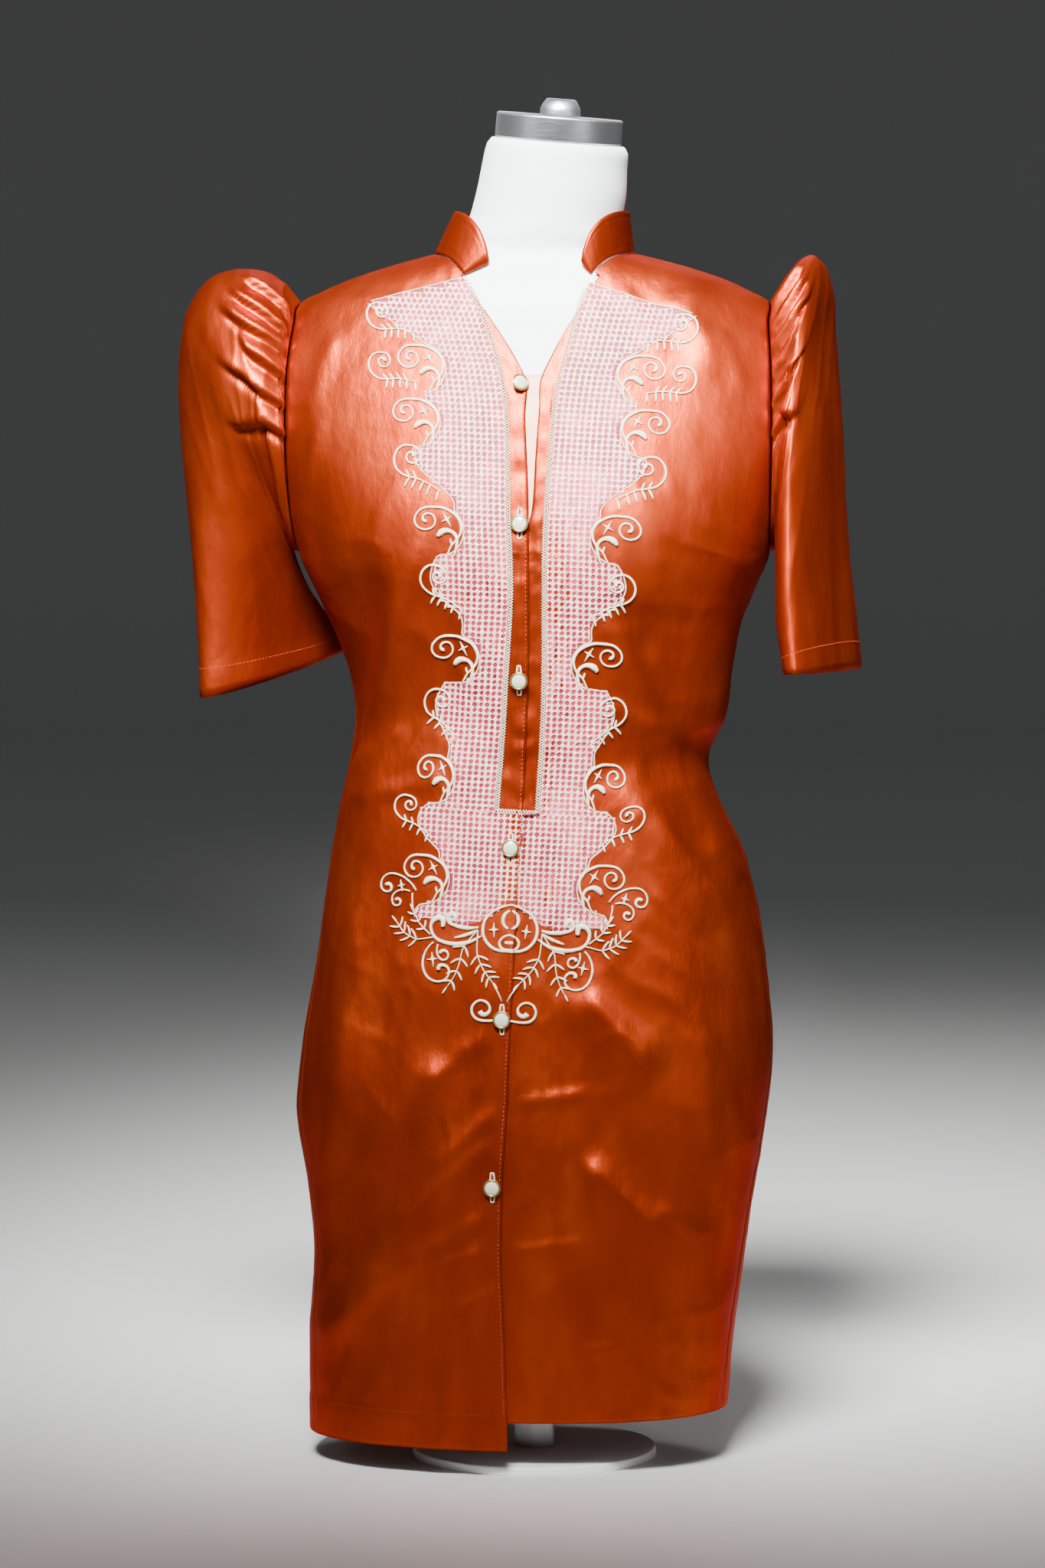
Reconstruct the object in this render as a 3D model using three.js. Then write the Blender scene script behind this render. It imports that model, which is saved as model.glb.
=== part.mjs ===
// A barong dress on a limbless dress form: a short-sleeved shirt dress of satin organza with a stand
// collar, a V opening, six shank buttons and pleated sleeve heads. Millimetres, +Z up.
// The origin is under the middle of the stand's base plate. The front faces -Y.
// Right and left are the wearer's: the right front is at -X and laps over the left front.

import * as THREE from "three";

// Cloth
const WALL = 1.5; // one layer of cloth
const SEAM = 0.3; // gap left where two pieces are sewn together
const COLLAR_WALL = 2.4; // two layers with interlining
const HEM_WALL = 2.4; // a hem is turned up, so its wall is thicker
const HEM_DEPTH = 30; // turned hem of the skirt
const CUFF_DEPTH = 13; // turned hem of a sleeve

// Heights on the dress, from a level LIFT above the floor
const LIFT = 30;
const UNDERARM_Z = 694;
const SHOULDER_Z = 892; // shoulder seam at the armhole
const NECK_Z = 930; // shoulder seam at the neck
const V_TOP_Z = 912; // front end of the collar
const V_BOTTOM_Z = 834; // point of the V opening
const RIGHT_HEM_Z = -8; // the right front hangs lower than the left
const LEFT_HEM_Z = 14;

// Armholes and neckline
const ARMHOLE_FRONT = 58; // how far an armhole reaches forward of its seam line
const ARMHOLE_BACK = 62;
const NECK_RADIUS = 80;

// Outline of the dress by height. right and left are the distances of the side seam, armhole edge or
// shoulder seam from the middle, front and back the depths on the middle line, and round the exponent
// of the section (2 is an ellipse, more is squarer).
const BODY = [
  { z: -12, right: 180, left: 153, front: 109, back: 107, round: 2.3 },
  { z: 60, right: 181, left: 159, front: 109, back: 107, round: 2.3 },
  { z: 135, right: 177, left: 169, front: 111, back: 109, round: 2.3 },
  { z: 190, right: 182, left: 177, front: 113, back: 112, round: 2.35 },
  { z: 245, right: 190, left: 186, front: 116, back: 115, round: 2.4 },
  { z: 300, right: 186, left: 191, front: 118, back: 118, round: 2.4 },
  { z: 350, right: 177, left: 187, front: 118, back: 115, round: 2.4 },
  { z: 405, right: 168, left: 180, front: 115, back: 105, round: 2.35 },
  { z: 460, right: 161, left: 166, front: 111, back: 92, round: 2.3 },
  { z: 500, right: 153, left: 147, front: 108, back: 84, round: 2.25 },
  { z: 531, right: 147, left: 139, front: 108, back: 81, round: 2.2 },
  { z: 565, right: 143, left: 153, front: 110, back: 81, round: 2.2 },
  { z: 603, right: 149, left: 158, front: 114, back: 84, round: 2.3 },
  { z: 640, right: 163, left: 165, front: 118, back: 89, round: 2.35 },
  { z: 675, right: 179, left: 180, front: 121, back: 94, round: 2.4 },
  { z: 694, right: 187, left: 187, front: 121, back: 96, round: 2.4 },
  { z: 740, right: 191, left: 190, front: 117, back: 100, round: 2.4 },
  { z: 790, right: 192, left: 191, front: 107, back: 102, round: 2.35 },
  { z: 840, right: 191, left: 190, front: 92, back: 98, round: 2.3 },
  { z: 875, right: 188, left: 187, front: 80, back: 87, round: 2.2 },
  { z: 892, right: 186, left: 186, front: 73, back: 80, round: 2.15 },
  { z: 901, right: 168, left: 170, front: 69.5, back: 75, round: 2.1 },
  { z: 909, right: 150, left: 153, front: 66.5, back: 71, round: 2.1 },
  { z: 917, right: 127, left: 129, front: 64, back: 67.5, round: 2.05 },
  { z: 925, right: 99, left: 101, front: 61.5, back: 67, round: 2 },
  { z: 930, right: 80, left: 80, front: 60, back: 66, round: 2 },
];

// Where the side seams run, in degrees round from the middle of the front.
const SIDE_SEAMS = [
  { z: 0, right: 74, left: 80 },
  { z: 200, right: 75, left: 83 },
  { z: 400, right: 79, left: 87 },
  { z: 694, right: 90, left: 90 },
];

// The front edge of each front panel, as its distance from the middle.
const RIGHT_EDGE = [
  { z: 0, x: -11 },
  { z: 84, x: -13.5 },
  { z: 150, x: -15.5 },
  { z: 213, x: -14 },
  { z: 265, x: -10.5 },
  { z: 348, x: -6.5 },
  { z: 452, x: -1 },
  { z: 533, x: 3 },
  { z: 621, x: 6.5 },
  { z: 730, x: 6.5 },
  { z: 801, x: 2.5 },
  { z: 834, x: 0.5 },
  { z: 912, x: -52 },
];
const LEFT_EDGE = [
  { z: 0, x: -34 },
  { z: 150, x: -37 },
  { z: 265, x: -32 },
  { z: 452, x: -22 },
  { z: 600, x: -15 },
  { z: 660, x: -8 },
  { z: 700, x: 2 },
  { z: 730, x: 9 },
  { z: 770, x: 11 },
  { z: 805, x: 13 },
  { z: 834, x: 15 },
  { z: 912, x: 57 },
];

// The largest folds. Each is a ridge (or a trough, where height is below 0) along a line seen from
// the front or the back, from one point (x, z) to another, spread over width on each side.
const FRONT_FOLDS = [
  { x1: -118, z1: 690, x2: -150, z2: 520, width: 26, height: -7 },
  { x1: -88, z1: 690, x2: -132, z2: 440, width: 22, height: 6 },
  { x1: -132, z1: 440, x2: -150, z2: 250, width: 26, height: 5 },
  { x1: -98, z1: 330, x2: -60, z2: 560, width: 26, height: 3.5 },
  { x1: -60, z1: 300, x2: -130, z2: 210, width: 18, height: 5 },
  { x1: -50, z1: 230, x2: -166, z2: 62, width: 16, height: 5 },
  { x1: 105, z1: 660, x2: 122, z2: 520, width: 24, height: -7 },
  { x1: 72, z1: 520, x2: 152, z2: 410, width: 18, height: 6 },
  { x1: 125, z1: 470, x2: 168, z2: 330, width: 24, height: -3 },
  { x1: 40, z1: 356, x2: 104, z2: 290, width: 18, height: 5 },
  { x1: 50, z1: 225, x2: 108, z2: 155, width: 18, height: 5 },
  { x1: 140, z1: 300, x2: 120, z2: 120, width: 26, height: 4 },
  { x1: 118, z1: 905, x2: 150, z2: 830, width: 16, height: 4 },
];
const BACK_FOLDS = [
  { x1: -70, z1: 640, x2: -120, z2: 470, width: 24, height: 5 },
  { x1: 75, z1: 650, x2: 118, z2: 460, width: 24, height: 5 },
  { x1: 0, z1: 600, x2: 10, z2: 420, width: 30, height: -2.5 },
  { x1: -60, z1: 400, x2: -90, z2: 60, width: 26, height: 4.5 },
  { x1: 50, z1: 380, x2: 88, z2: 70, width: 26, height: 4.5 },
  { x1: -10, z1: 300, x2: 6, z2: 50, width: 28, height: -3.5 },
  { x1: -120, z1: 800, x2: -60, z2: 700, width: 22, height: 4 },
  { x1: 120, z1: 805, x2: 66, z2: 700, width: 22, height: 4 },
];
const BUST = { x: 82, z: 708, height: 8, width: 44, rise: 46 };

// Sleeve sections from the armhole to the cuff. Each is a closed ring through a top point and an
// underarm point, and depth is its reach to the front, turned away from -Y by turn degrees.
const RIGHT_SLEEVE = [
  { topX: -199, topY: 0, topZ: 908, underX: -193.5, underY: 1, underZ: 696, depth: 62, turn: 1 },
  { topX: -216, topY: -2, topZ: 917, underX: -195, underY: 4, underZ: 698, depth: 65, turn: 1 },
  { topX: -238, topY: -5, topZ: 918, underX: -197, underY: 7, underZ: 698.5, depth: 65, turn: 6 },
  { topX: -259, topY: -9, topZ: 911, underX: -197, underY: 10, underZ: 698, depth: 62, turn: 13 },
  { topX: -273, topY: -13, topZ: 891, underX: -198, underY: 14, underZ: 695, depth: 58, turn: 17 },
  { topX: -280, topY: -16, topZ: 862, underX: -198, underY: 19, underZ: 690, depth: 53, turn: 21 },
  { topX: -281, topY: -18, topZ: 828, underX: -197, underY: 26, underZ: 683, depth: 47, turn: 26 },
  { topX: -278, topY: -20, topZ: 780, underX: -194, underY: 36, underZ: 672, depth: 41, turn: 31 },
  { topX: -273, topY: -21, topZ: 730, underX: -189, underY: 48, underZ: 660, depth: 35, turn: 35 },
  { topX: -269, topY: -22, topZ: 680, underX: -182, underY: 60, underZ: 648, depth: 30, turn: 38 },
  { topX: -266, topY: -23, topZ: 630, underX: -172, underY: 73, underZ: 635, depth: 26, turn: 41 },
  { topX: -263, topY: -25, topZ: 578, underX: -158, underY: 86, underZ: 618, depth: 24, turn: 43 },
];
const LEFT_SLEEVE = [
  { topX: 198, topY: 0, topZ: 910, underX: 191.5, underY: 1, underZ: 696, depth: 61, turn: 0 },
  { topX: 209, topY: 0, topZ: 922, underX: 193.5, underY: 2, underZ: 697.5, depth: 64, turn: -1 },
  { topX: 219, topY: 0, topZ: 928, underX: 195, underY: 3, underZ: 697.5, depth: 67, turn: -3 },
  { topX: 228, topY: 0, topZ: 922, underX: 195.5, underY: 3, underZ: 697, depth: 70, turn: -7 },
  { topX: 233, topY: 0, topZ: 904, underX: 197, underY: 3, underZ: 694, depth: 72, turn: -9 },
  { topX: 234, topY: -1, topZ: 875, underX: 198, underY: 3, underZ: 689, depth: 74, turn: -10 },
  { topX: 236, topY: -2, topZ: 840, underX: 199, underY: 3, underZ: 682, depth: 75, turn: -11 },
  { topX: 238, topY: -3, topZ: 798, underX: 200, underY: 3, underZ: 672, depth: 76, turn: -12 },
  { topX: 239, topY: -3, topZ: 750, underX: 201, underY: 3, underZ: 658, depth: 77, turn: -13 },
  { topX: 241, topY: -4, topZ: 702, underX: 203, underY: 3, underZ: 640, depth: 78, turn: -14 },
  { topX: 245, topY: -4, topZ: 652, underX: 206, underY: 4, underZ: 620, depth: 79, turn: -15 },
  { topX: 249, topY: -4, topZ: 601, underX: 210, underY: 4, underZ: 600, depth: 80, turn: -15 },
];
// Knife pleats on the front of a sleeve's head, with as many behind. Each fold line is start degrees
// round from the underarm at the armhole, and end degrees round where it dies out, at a share of the
// way to the cuff.
const PLEATS = [
  { start: 82, end: 120, reach: 0.58, bend: 4.5 },
  { start: 94, end: 130, reach: 0.46, bend: 4 },
  { start: 107, end: 117, reach: 0.31, bend: 3 },
  { start: 120, end: 143, reach: 0.36, bend: 4 },
  { start: 130, end: 147, reach: 0.3, bend: 3 },
  { start: 145, end: 155, reach: 0.24, bend: 2 },
];
const PLEAT_VALLEY = { turn: -2, height: -3.2 };
const PLEAT_CREST = { turn: 3.5, height: 5 };
const PLEAT_GAP = 7; // the fold lines stay this many degrees apart

// Shank buttons on the right front: x and height of each.
const BUTTONS = [
  { x: -3, z: 826 },
  { x: 0, z: 718 },
  { x: -1, z: 597 },
  { x: -8, z: 466 },
  { x: -14, z: 333 },
  { x: -22, z: 201 },
];
const BUTTON_RADIUS = 7;
const BUTTON_THICK = 4.2;
const SHANK_RADIUS = 2.2;
const SHANK_LENGTH = 2;

// The dress form, up to where the dress lies on its shoulders, and its neck above them.
const TORSO = [
  { z: 150, half: 154, front: 97, back: 100, round: 2.2 },
  { z: 190, half: 160, front: 102, back: 105, round: 2.2 },
  { z: 250, half: 167, front: 106, back: 109, round: 2.2 },
  { z: 300, half: 170, front: 108, back: 110, round: 2.2 },
  { z: 350, half: 166, front: 107, back: 106, round: 2.2 },
  { z: 420, half: 151, front: 102, back: 95, round: 2.15 },
  { z: 480, half: 135, front: 98, back: 82, round: 2.1 },
  { z: 530, half: 126, front: 97, back: 73, round: 2.1 },
  { z: 580, half: 131, front: 101, back: 73, round: 2.15 },
  { z: 640, half: 149, front: 109, back: 80, round: 2.2 },
  { z: 690, half: 165, front: 113, back: 87, round: 2.25 },
  { z: 740, half: 171, front: 108, back: 92, round: 2.3 },
  { z: 790, half: 173, front: 99, back: 94, round: 2.3 },
  { z: 840, half: 174, front: 85, back: 90, round: 2.3 },
  { z: 872, half: 174, front: 75, back: 81, round: 2.3 },
];
const NECK = [
  { z: 932, half: 70, front: 56, back: 57, x: 2, y: 0 },
  { z: 944, half: 65, front: 56, back: 55.5, x: 6, y: -1 },
  { z: 956, half: 61, front: 55.5, back: 54, x: 9, y: -2.5 },
  { z: 978, half: 59, front: 55, back: 54, x: 14, y: -5 },
  { z: 1000, half: 57, front: 54.5, back: 53.5, x: 17, y: -7 },
  { z: 1013, half: 55.5, front: 53.5, back: 52.5, x: 19, y: -8.5 },
  { z: 1018, half: 52, front: 51, back: 50, x: 19.5, y: -9 },
];
const ARM_PLATE_X = 174; // the form has no arms: its sides are flat there
const REST_GAP = 2.1; // between the form's shoulders and the dress lying on them
const LEAN_SIDE = 4.9; // the neck leans to the wearer's left
const LEAN_FRONT = 4; // and a little forward, both in degrees

const CAP_RADIUS = 50;
const CAP_HEIGHT = 20;
const KNOB_RADIUS = 16;
const KNOB_HEIGHT = 13;
const KNOB_FACETS = 10;
const POLE_RADIUS = 16;
const BASE_RADIUS = 98;
const BASE_THICK = 7;

// Mesh steps
const PANEL_COLUMNS = 12;
const BACK_COLUMNS = 20;
const SKIRT_ROWS = 20;
const CHEST_ROWS = 10;
const SHOULDER_ROWS = 6;
const SLEEVE_RINGS = 20;
const UNDER_STEPS = 11;
const TORSO_COLUMNS = 32;

const { abs, asin, atan2, cos, exp, hypot, max, min, PI, pow, sin, sqrt, tan } = Math;
const rad = THREE.MathUtils.degToRad;
const mix = THREE.MathUtils.lerp;
const smooth = (t) => THREE.MathUtils.smoothstep(t, 0, 1);

// Reads a column of a table at a height, on a smooth curve through its rows.
function read(table, column, at, key = "z") {
  const last = table.length - 1;
  if (at <= table[0][key]) return table[0][column];
  if (at >= table[last][key]) return table[last][column];
  let i = 0;
  while (table[i + 1][key] < at) i += 1;
  const slope = (a, b) => (table[b][column] - table[a][column]) / (table[b][key] - table[a][key]);
  const gap = table[i + 1][key] - table[i][key];
  const before = i > 0 ? slope(i - 1, i + 1) : slope(i, i + 1);
  const after = i + 1 < last ? slope(i, i + 2) : slope(i, i + 1);
  const t = (at - table[i][key]) / gap;
  return (
    (2 * t ** 3 - 3 * t ** 2 + 1) * table[i][column] +
    (t ** 3 - 2 * t ** 2 + t) * gap * before +
    (3 * t ** 2 - 2 * t ** 3) * table[i + 1][column] +
    (t ** 3 - t ** 2) * gap * after
  );
}

const ARMHOLE_MIDDLE = (UNDERARM_Z + SHOULDER_Z) / 2;
const ARMHOLE_HALF = (SHOULDER_Z - UNDERARM_Z) / 2;

// How far the armhole's edge lies in front of its seam line, or behind it, at a height.
function armholeDepth(z, reach) {
  const share = (z - ARMHOLE_MIDDLE) / ARMHOLE_HALF;
  return abs(share) < 1 ? reach * sqrt(1 - share * share) : 0;
}

// The smooth surface that the dress is cut to: angle is from the middle of the front, positive
// towards the wearer's left.
function shellRadius(angle, z) {
  const round = read(BODY, "round", z);
  const isFront = cos(angle) >= 0;
  const depth = read(BODY, isFront ? "front" : "back", z);
  const seam = (read(BODY, "right", z) + read(BODY, "left", z)) / 2;
  const armhole = armholeDepth(z, isFront ? ARMHOLE_FRONT : ARMHOLE_BACK);
  const half = seam / pow(1 - pow(armhole / depth, round), 1 / round);
  return pow(pow(abs(sin(angle)) / half, round) + pow(abs(cos(angle)) / depth, round), -1 / round);
}

const shellMiddle = (z) => (read(BODY, "left", z) - read(BODY, "right", z)) / 2;

function shell(angle, z) {
  const radius = shellRadius(angle, z);
  return new THREE.Vector3(shellMiddle(z) + radius * sin(angle), -radius * cos(angle), z);
}

function shellNormal(angle, z) {
  const step = 0.004;
  const rise = 1.5;
  const low = max(z - rise, BODY[0].z);
  const high = min(z + rise, NECK_Z);
  const round = shell(angle + step, z).sub(shell(angle - step, z));
  const up = shell(angle, high).sub(shell(angle, low));
  return round.cross(up).normalize();
}

// Height of one fold at a point: full on its line, soft to both sides and towards its ends.
function foldAt(fold, x, z) {
  const along = new THREE.Vector2(fold.x2 - fold.x1, fold.z2 - fold.z1);
  const from = new THREE.Vector2(x - fold.x1, z - fold.z1);
  const share = from.dot(along) / along.lengthSq();
  const aside = abs(from.cross(along)) / along.length() / fold.width;
  const taper = smooth(share / 0.3 + 0.3) * smooth((1 - share) / 0.3 + 0.3);
  return fold.height * exp(-aside * aside) * taper;
}

function foldHeight(angle, point) {
  const isFront = cos(angle) >= 0;
  const folds = isFront ? FRONT_FOLDS : BACK_FOLDS;
  const fadeAtSide = smooth(abs(cos(angle)) / 0.35);
  const fromSeam = read(BODY, point.x < 0 ? "right" : "left", point.z) - abs(point.x);
  const fadeAtArm = mix(1, smooth(fromSeam / 30), smooth((point.z - UNDERARM_Z + 70) / 60));
  let height = 0;
  for (const fold of folds) height += foldAt(fold, point.x, point.z);
  if (isFront) {
    const aside = (abs(point.x) - BUST.x) / BUST.width;
    const rise = (point.z - BUST.z) / BUST.rise;
    height += BUST.height * exp(-aside * aside - rise * rise);
  }
  return height * fadeAtSide * fadeAtArm;
}

// A point of the dress, lifted off the smooth surface by its folds and by a given height.
function skin(angle, z, lift) {
  const point = shell(angle, z);
  const height = foldHeight(angle, point) + lift;
  return point.addScaledVector(shellNormal(angle, z), height);
}

// The angle of a point of the front that lies at x.
function angleAtX(x, z) {
  const offset = x - shellMiddle(z);
  let angle = atan2(offset, read(BODY, "front", z));
  for (let i = 0; i < 8; i += 1) angle = atan2(offset, shellRadius(angle, z) * cos(angle));
  return angle;
}

// The angle, from the front, where the surface is as wide as the neckline at a height.
function necklineAngle(z) {
  let low = 0;
  let high = PI / 2;
  for (let i = 0; i < 30; i += 1) {
    const middle = (low + high) / 2;
    if (shellRadius(middle, z) < NECK_RADIUS) low = middle;
    else high = middle;
  }
  return low;
}

// The height where the surface is as wide as the neckline, at an angle of the front.
function necklineHeight(angle) {
  let low = V_TOP_Z - 10;
  let high = NECK_Z;
  for (let i = 0; i < 30; i += 1) {
    const middle = (low + high) / 2;
    if (shellRadius(angle, middle) > NECK_RADIUS) low = middle;
    else high = middle;
  }
  return low;
}

// The outer edge of a panel: side seam, armhole or shoulder seam.
function outerAngle(z, side, reach, isBack) {
  if (z < UNDERARM_Z) return rad(read(SIDE_SEAMS, side, z));
  const depth = armholeDepth(z, reach);
  const angle = atan2(read(BODY, side, z), depth);
  return isBack ? PI - angle : angle;
}

// Turns a grid of outer and inner points into one closed wall. Rows run up, columns run round.
function wallGeometry(outer, inner, isRing) {
  const rows = outer.length;
  const columns = outer[0].length;
  const points = [...outer.flat(), ...inner.flat()];
  const out = (r, c) => r * columns + (c % columns);
  const back = (r, c) => rows * columns + out(r, c);
  const faces = [];
  const quad = (a, b, c, d) => faces.push(a, b, c, a, c, d);
  const spans = isRing ? columns : columns - 1;
  for (let r = 0; r < rows - 1; r += 1) {
    for (let c = 0; c < spans; c += 1) {
      quad(out(r, c), out(r, c + 1), out(r + 1, c + 1), out(r + 1, c));
      quad(back(r, c), back(r + 1, c), back(r + 1, c + 1), back(r, c + 1));
    }
  }
  for (let c = 0; c < spans; c += 1) {
    const top = rows - 1;
    quad(out(0, c + 1), out(0, c), back(0, c), back(0, c + 1));
    quad(out(top, c), out(top, c + 1), back(top, c + 1), back(top, c));
  }
  if (!isRing) {
    const end = columns - 1;
    for (let r = 0; r < rows - 1; r += 1) {
      quad(out(r, 0), out(r + 1, 0), back(r + 1, 0), back(r, 0));
      quad(out(r + 1, end), out(r, end), back(r, end), back(r + 1, end));
    }
  }
  return facingOut(points, faces);
}

// A solid of closed rings, with a flat face at each end.
function stackGeometry(rings) {
  const columns = rings[0].length;
  const points = rings.flat();
  const centre = (ring) => ring.reduce((sum, p) => sum.add(p), new THREE.Vector3()).divideScalar(columns);
  const bottom = points.push(centre(rings[0])) - 1;
  const top = points.push(centre(rings.at(-1))) - 1;
  const at = (r, c) => r * columns + (c % columns);
  const faces = [];
  for (let r = 0; r < rings.length - 1; r += 1) {
    for (let c = 0; c < columns; c += 1) {
      faces.push(at(r, c), at(r, c + 1), at(r + 1, c + 1), at(r, c), at(r + 1, c + 1), at(r + 1, c));
    }
  }
  for (let c = 0; c < columns; c += 1) {
    faces.push(bottom, at(0, c + 1), at(0, c));
    faces.push(top, at(rings.length - 1, c), at(rings.length - 1, c + 1));
  }
  return facingOut(points, faces);
}

// Builds the mesh data, with every face turned outwards.
function facingOut(points, faces) {
  let volume = 0;
  for (let i = 0; i < faces.length; i += 3) {
    const [a, b, c] = [points[faces[i]], points[faces[i + 1]], points[faces[i + 2]]];
    volume += a.dot(new THREE.Vector3().crossVectors(b, c));
  }
  const index = volume < 0 ? [...faces].reverse() : faces;
  return new THREE.BufferGeometry().setFromPoints(points).setIndex(index);
}

// Evenly spaced numbers from one value to another, both included.
const steps = (from, to, count) => Array.from({ length: count + 1 }, (_, i) => mix(from, to, i / count));

const LEVELS = [
  ...steps(0, UNDERARM_Z, SKIRT_ROWS),
  ...steps(0, PI, CHEST_ROWS).slice(1).map((turn) => ARMHOLE_MIDDLE - ARMHOLE_HALF * cos(turn)),
  ...steps(SHOULDER_Z, NECK_Z - 0.6, SHOULDER_ROWS).slice(1),
];

// The height of a panel's row, when its lowest row is the hem.
const rowHeight = (level, hem) => (level < UNDERARM_Z ? mix(hem, UNDERARM_Z, level / UNDERARM_Z) : level);

const clothWall = (aboveHem) => (aboveHem < HEM_DEPTH ? HEM_WALL : WALL);

// A front panel. side is "right" or "left", and lift(x, z) raises it where it laps over the other.
function frontPanel(side, edge, hem, lift) {
  const sign = side === "right" ? -1 : 1;
  const outer = [];
  const inner = [];
  for (const level of LEVELS) {
    const z = rowHeight(level, hem);
    const out = sign * outerAngle(z, side, ARMHOLE_FRONT, false);
    const start = z > V_TOP_Z ? sign * necklineAngle(z) : angleAtX(read(edge, "x", z), z);
    const trim = (sign * SEAM) / 2 / shellRadius(out, z);
    const angles = steps(start, out - trim, PANEL_COLUMNS);
    const raise = (angle) => lift(shell(angle, z).x, z);
    outer.push(angles.map((angle) => skin(angle, z, raise(angle))));
    inner.push(angles.map((angle) => skin(angle, z, raise(angle) - clothWall(z - hem))));
  }
  return wallGeometry(outer, inner, false);
}

// The right front lies on the left one where they lap.
function lapLift(x, z) {
  const overlap = WALL + SEAM + 0.2;
  const nearEdge = smooth((x + 62) / 24);
  const belowV = smooth((760 - z) / 40);
  return overlap * nearEdge * belowV;
}

function backPanel() {
  const outer = [];
  const inner = [];
  for (const level of LEVELS) {
    const leftZ = rowHeight(level, LEFT_HEM_Z);
    const rightZ = rowHeight(level, RIGHT_HEM_Z);
    const left = outerAngle(leftZ, "left", ARMHOLE_BACK, true);
    const right = 2 * PI - outerAngle(rightZ, "right", ARMHOLE_BACK, true);
    const trim = SEAM / 2 / shellRadius(left, leftZ);
    const row = steps(0, 1, BACK_COLUMNS).map((share) => {
      const hem = mix(LEFT_HEM_Z, RIGHT_HEM_Z, smooth(share));
      const z = rowHeight(level, hem);
      return { angle: mix(left + trim, right - trim, share), z, wall: clothWall(z - hem) };
    });
    outer.push(row.map(({ angle, z }) => skin(angle, z, 0)));
    inner.push(row.map(({ angle, z, wall }) => skin(angle, z, -wall)));
  }
  return wallGeometry(outer, inner, false);
}

// The strip of cloth behind the top of the opening.
function underlap() {
  const depth = WALL + SEAM + 0.1;
  const thick = 1;
  const rows = steps(690, V_BOTTOM_Z, 8).map((z) =>
    steps(angleAtX(-9, z), angleAtX(25, z), 4).map((angle) => ({ angle, z })),
  );
  const at = (lift) => rows.map((row) => row.map(({ angle, z }) => skin(angle, z, lift)));
  return wallGeometry(at(-depth), at(-depth - thick), false);
}

// A point of the armhole's edge, turn degrees round from the underarm towards the front.
function armholePoint(side, turn) {
  const sign = side === "right" ? -1 : 1;
  const z = ARMHOLE_MIDDLE - ARMHOLE_HALF * cos(turn);
  const reach = sin(turn) > 0 ? -ARMHOLE_FRONT : ARMHOLE_BACK;
  const gap = SEAM + 0.4;
  return new THREE.Vector3(sign * (read(BODY, side, z) + gap), reach * abs(sin(turn)), z);
}

// A point of a sleeve, share of the way from the armhole to the cuff.
function sleevePoint(table, side, share, turn, lift) {
  const place = share * table.length;
  const rows = table.map((row, i) => ({ ...row, place: i + 1 }));
  const column = (name) => read(rows, name, max(place, 1), "place");
  const top = new THREE.Vector3(column("topX"), column("topY"), column("topZ"));
  const under = new THREE.Vector3(column("underX"), column("underY"), column("underZ"));
  const bearing = rad(column("turn"));
  const front = new THREE.Vector3(sin(bearing), -cos(bearing), 0).multiplyScalar(column("depth"));
  const middle = top.clone().add(under).multiplyScalar(0.5);
  const up = top.clone().sub(under).multiplyScalar(0.5);
  const point = middle.addScaledVector(up, -cos(turn)).addScaledVector(front, sin(turn));
  if (place < 1) point.lerp(armholePoint(side, turn), 1 - place);
  return lift ? point.addScaledVector(sleeveNormal(table, side, share, turn), lift) : point;
}

function sleeveNormal(table, side, share, turn) {
  const step = 0.02;
  const move = 0.01;
  const round = sleevePoint(table, side, share, turn + step, 0).sub(
    sleevePoint(table, side, share, turn - step, 0),
  );
  const along = sleevePoint(table, side, min(share + move, 1), turn, 0).sub(
    sleevePoint(table, side, max(share - move, 0), turn, 0),
  );
  const sign = side === "right" ? 1 : -1;
  const normal = round.cross(along).multiplyScalar(sign);
  if (share === 0) normal.setX(0); // the sleeve's edge is cut square to the armhole
  return normal.normalize();
}

// The places round one section of a sleeve, and how far its cloth stands off there: a valley and a
// crest at each pleat, the front ones from the underarm up and the back ones down again.
function sleeveSection(share) {
  const front = [];
  let line = 0;
  for (const { start, end, reach, bend } of PLEATS) {
    line = max(mix(start, end, pow(min(share / reach, 1), bend)), line + PLEAT_GAP);
    const fade = smooth((share - 0.03) / 0.07) * smooth((reach - share) / (0.2 * reach));
    for (const { turn, height } of [PLEAT_VALLEY, PLEAT_CREST]) {
      front.push({ turn: rad(line + turn), height: height * fade });
    }
  }
  const back = front.map(({ turn, height }) => ({ turn: 2 * PI - turn, height })).reverse();
  const under = steps(back.at(-1).turn, 2 * PI + front[0].turn, UNDER_STEPS).slice(1, -1);
  return [...front, { turn: PI, height: 0 }, ...back, ...under.map((turn) => ({ turn, height: 0 }))];
}

function sleeve(side, table) {
  const shares = steps(0, 1, SLEEVE_RINGS).map((t) => mix(t, t * t, 0.35));
  const outer = [];
  const inner = [];
  for (const share of shares) {
    const isCuff = (1 - share) * 300 < CUFF_DEPTH;
    const wall = isCuff ? HEM_WALL : WALL;
    const section = sleeveSection(share);
    const ring = (sink) =>
      section.map(({ turn, height }) => sleevePoint(table, side, share, turn, height - sink));
    outer.push(ring(0));
    inner.push(ring(wall));
  }
  return wallGeometry(outer, inner, true);
}

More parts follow.
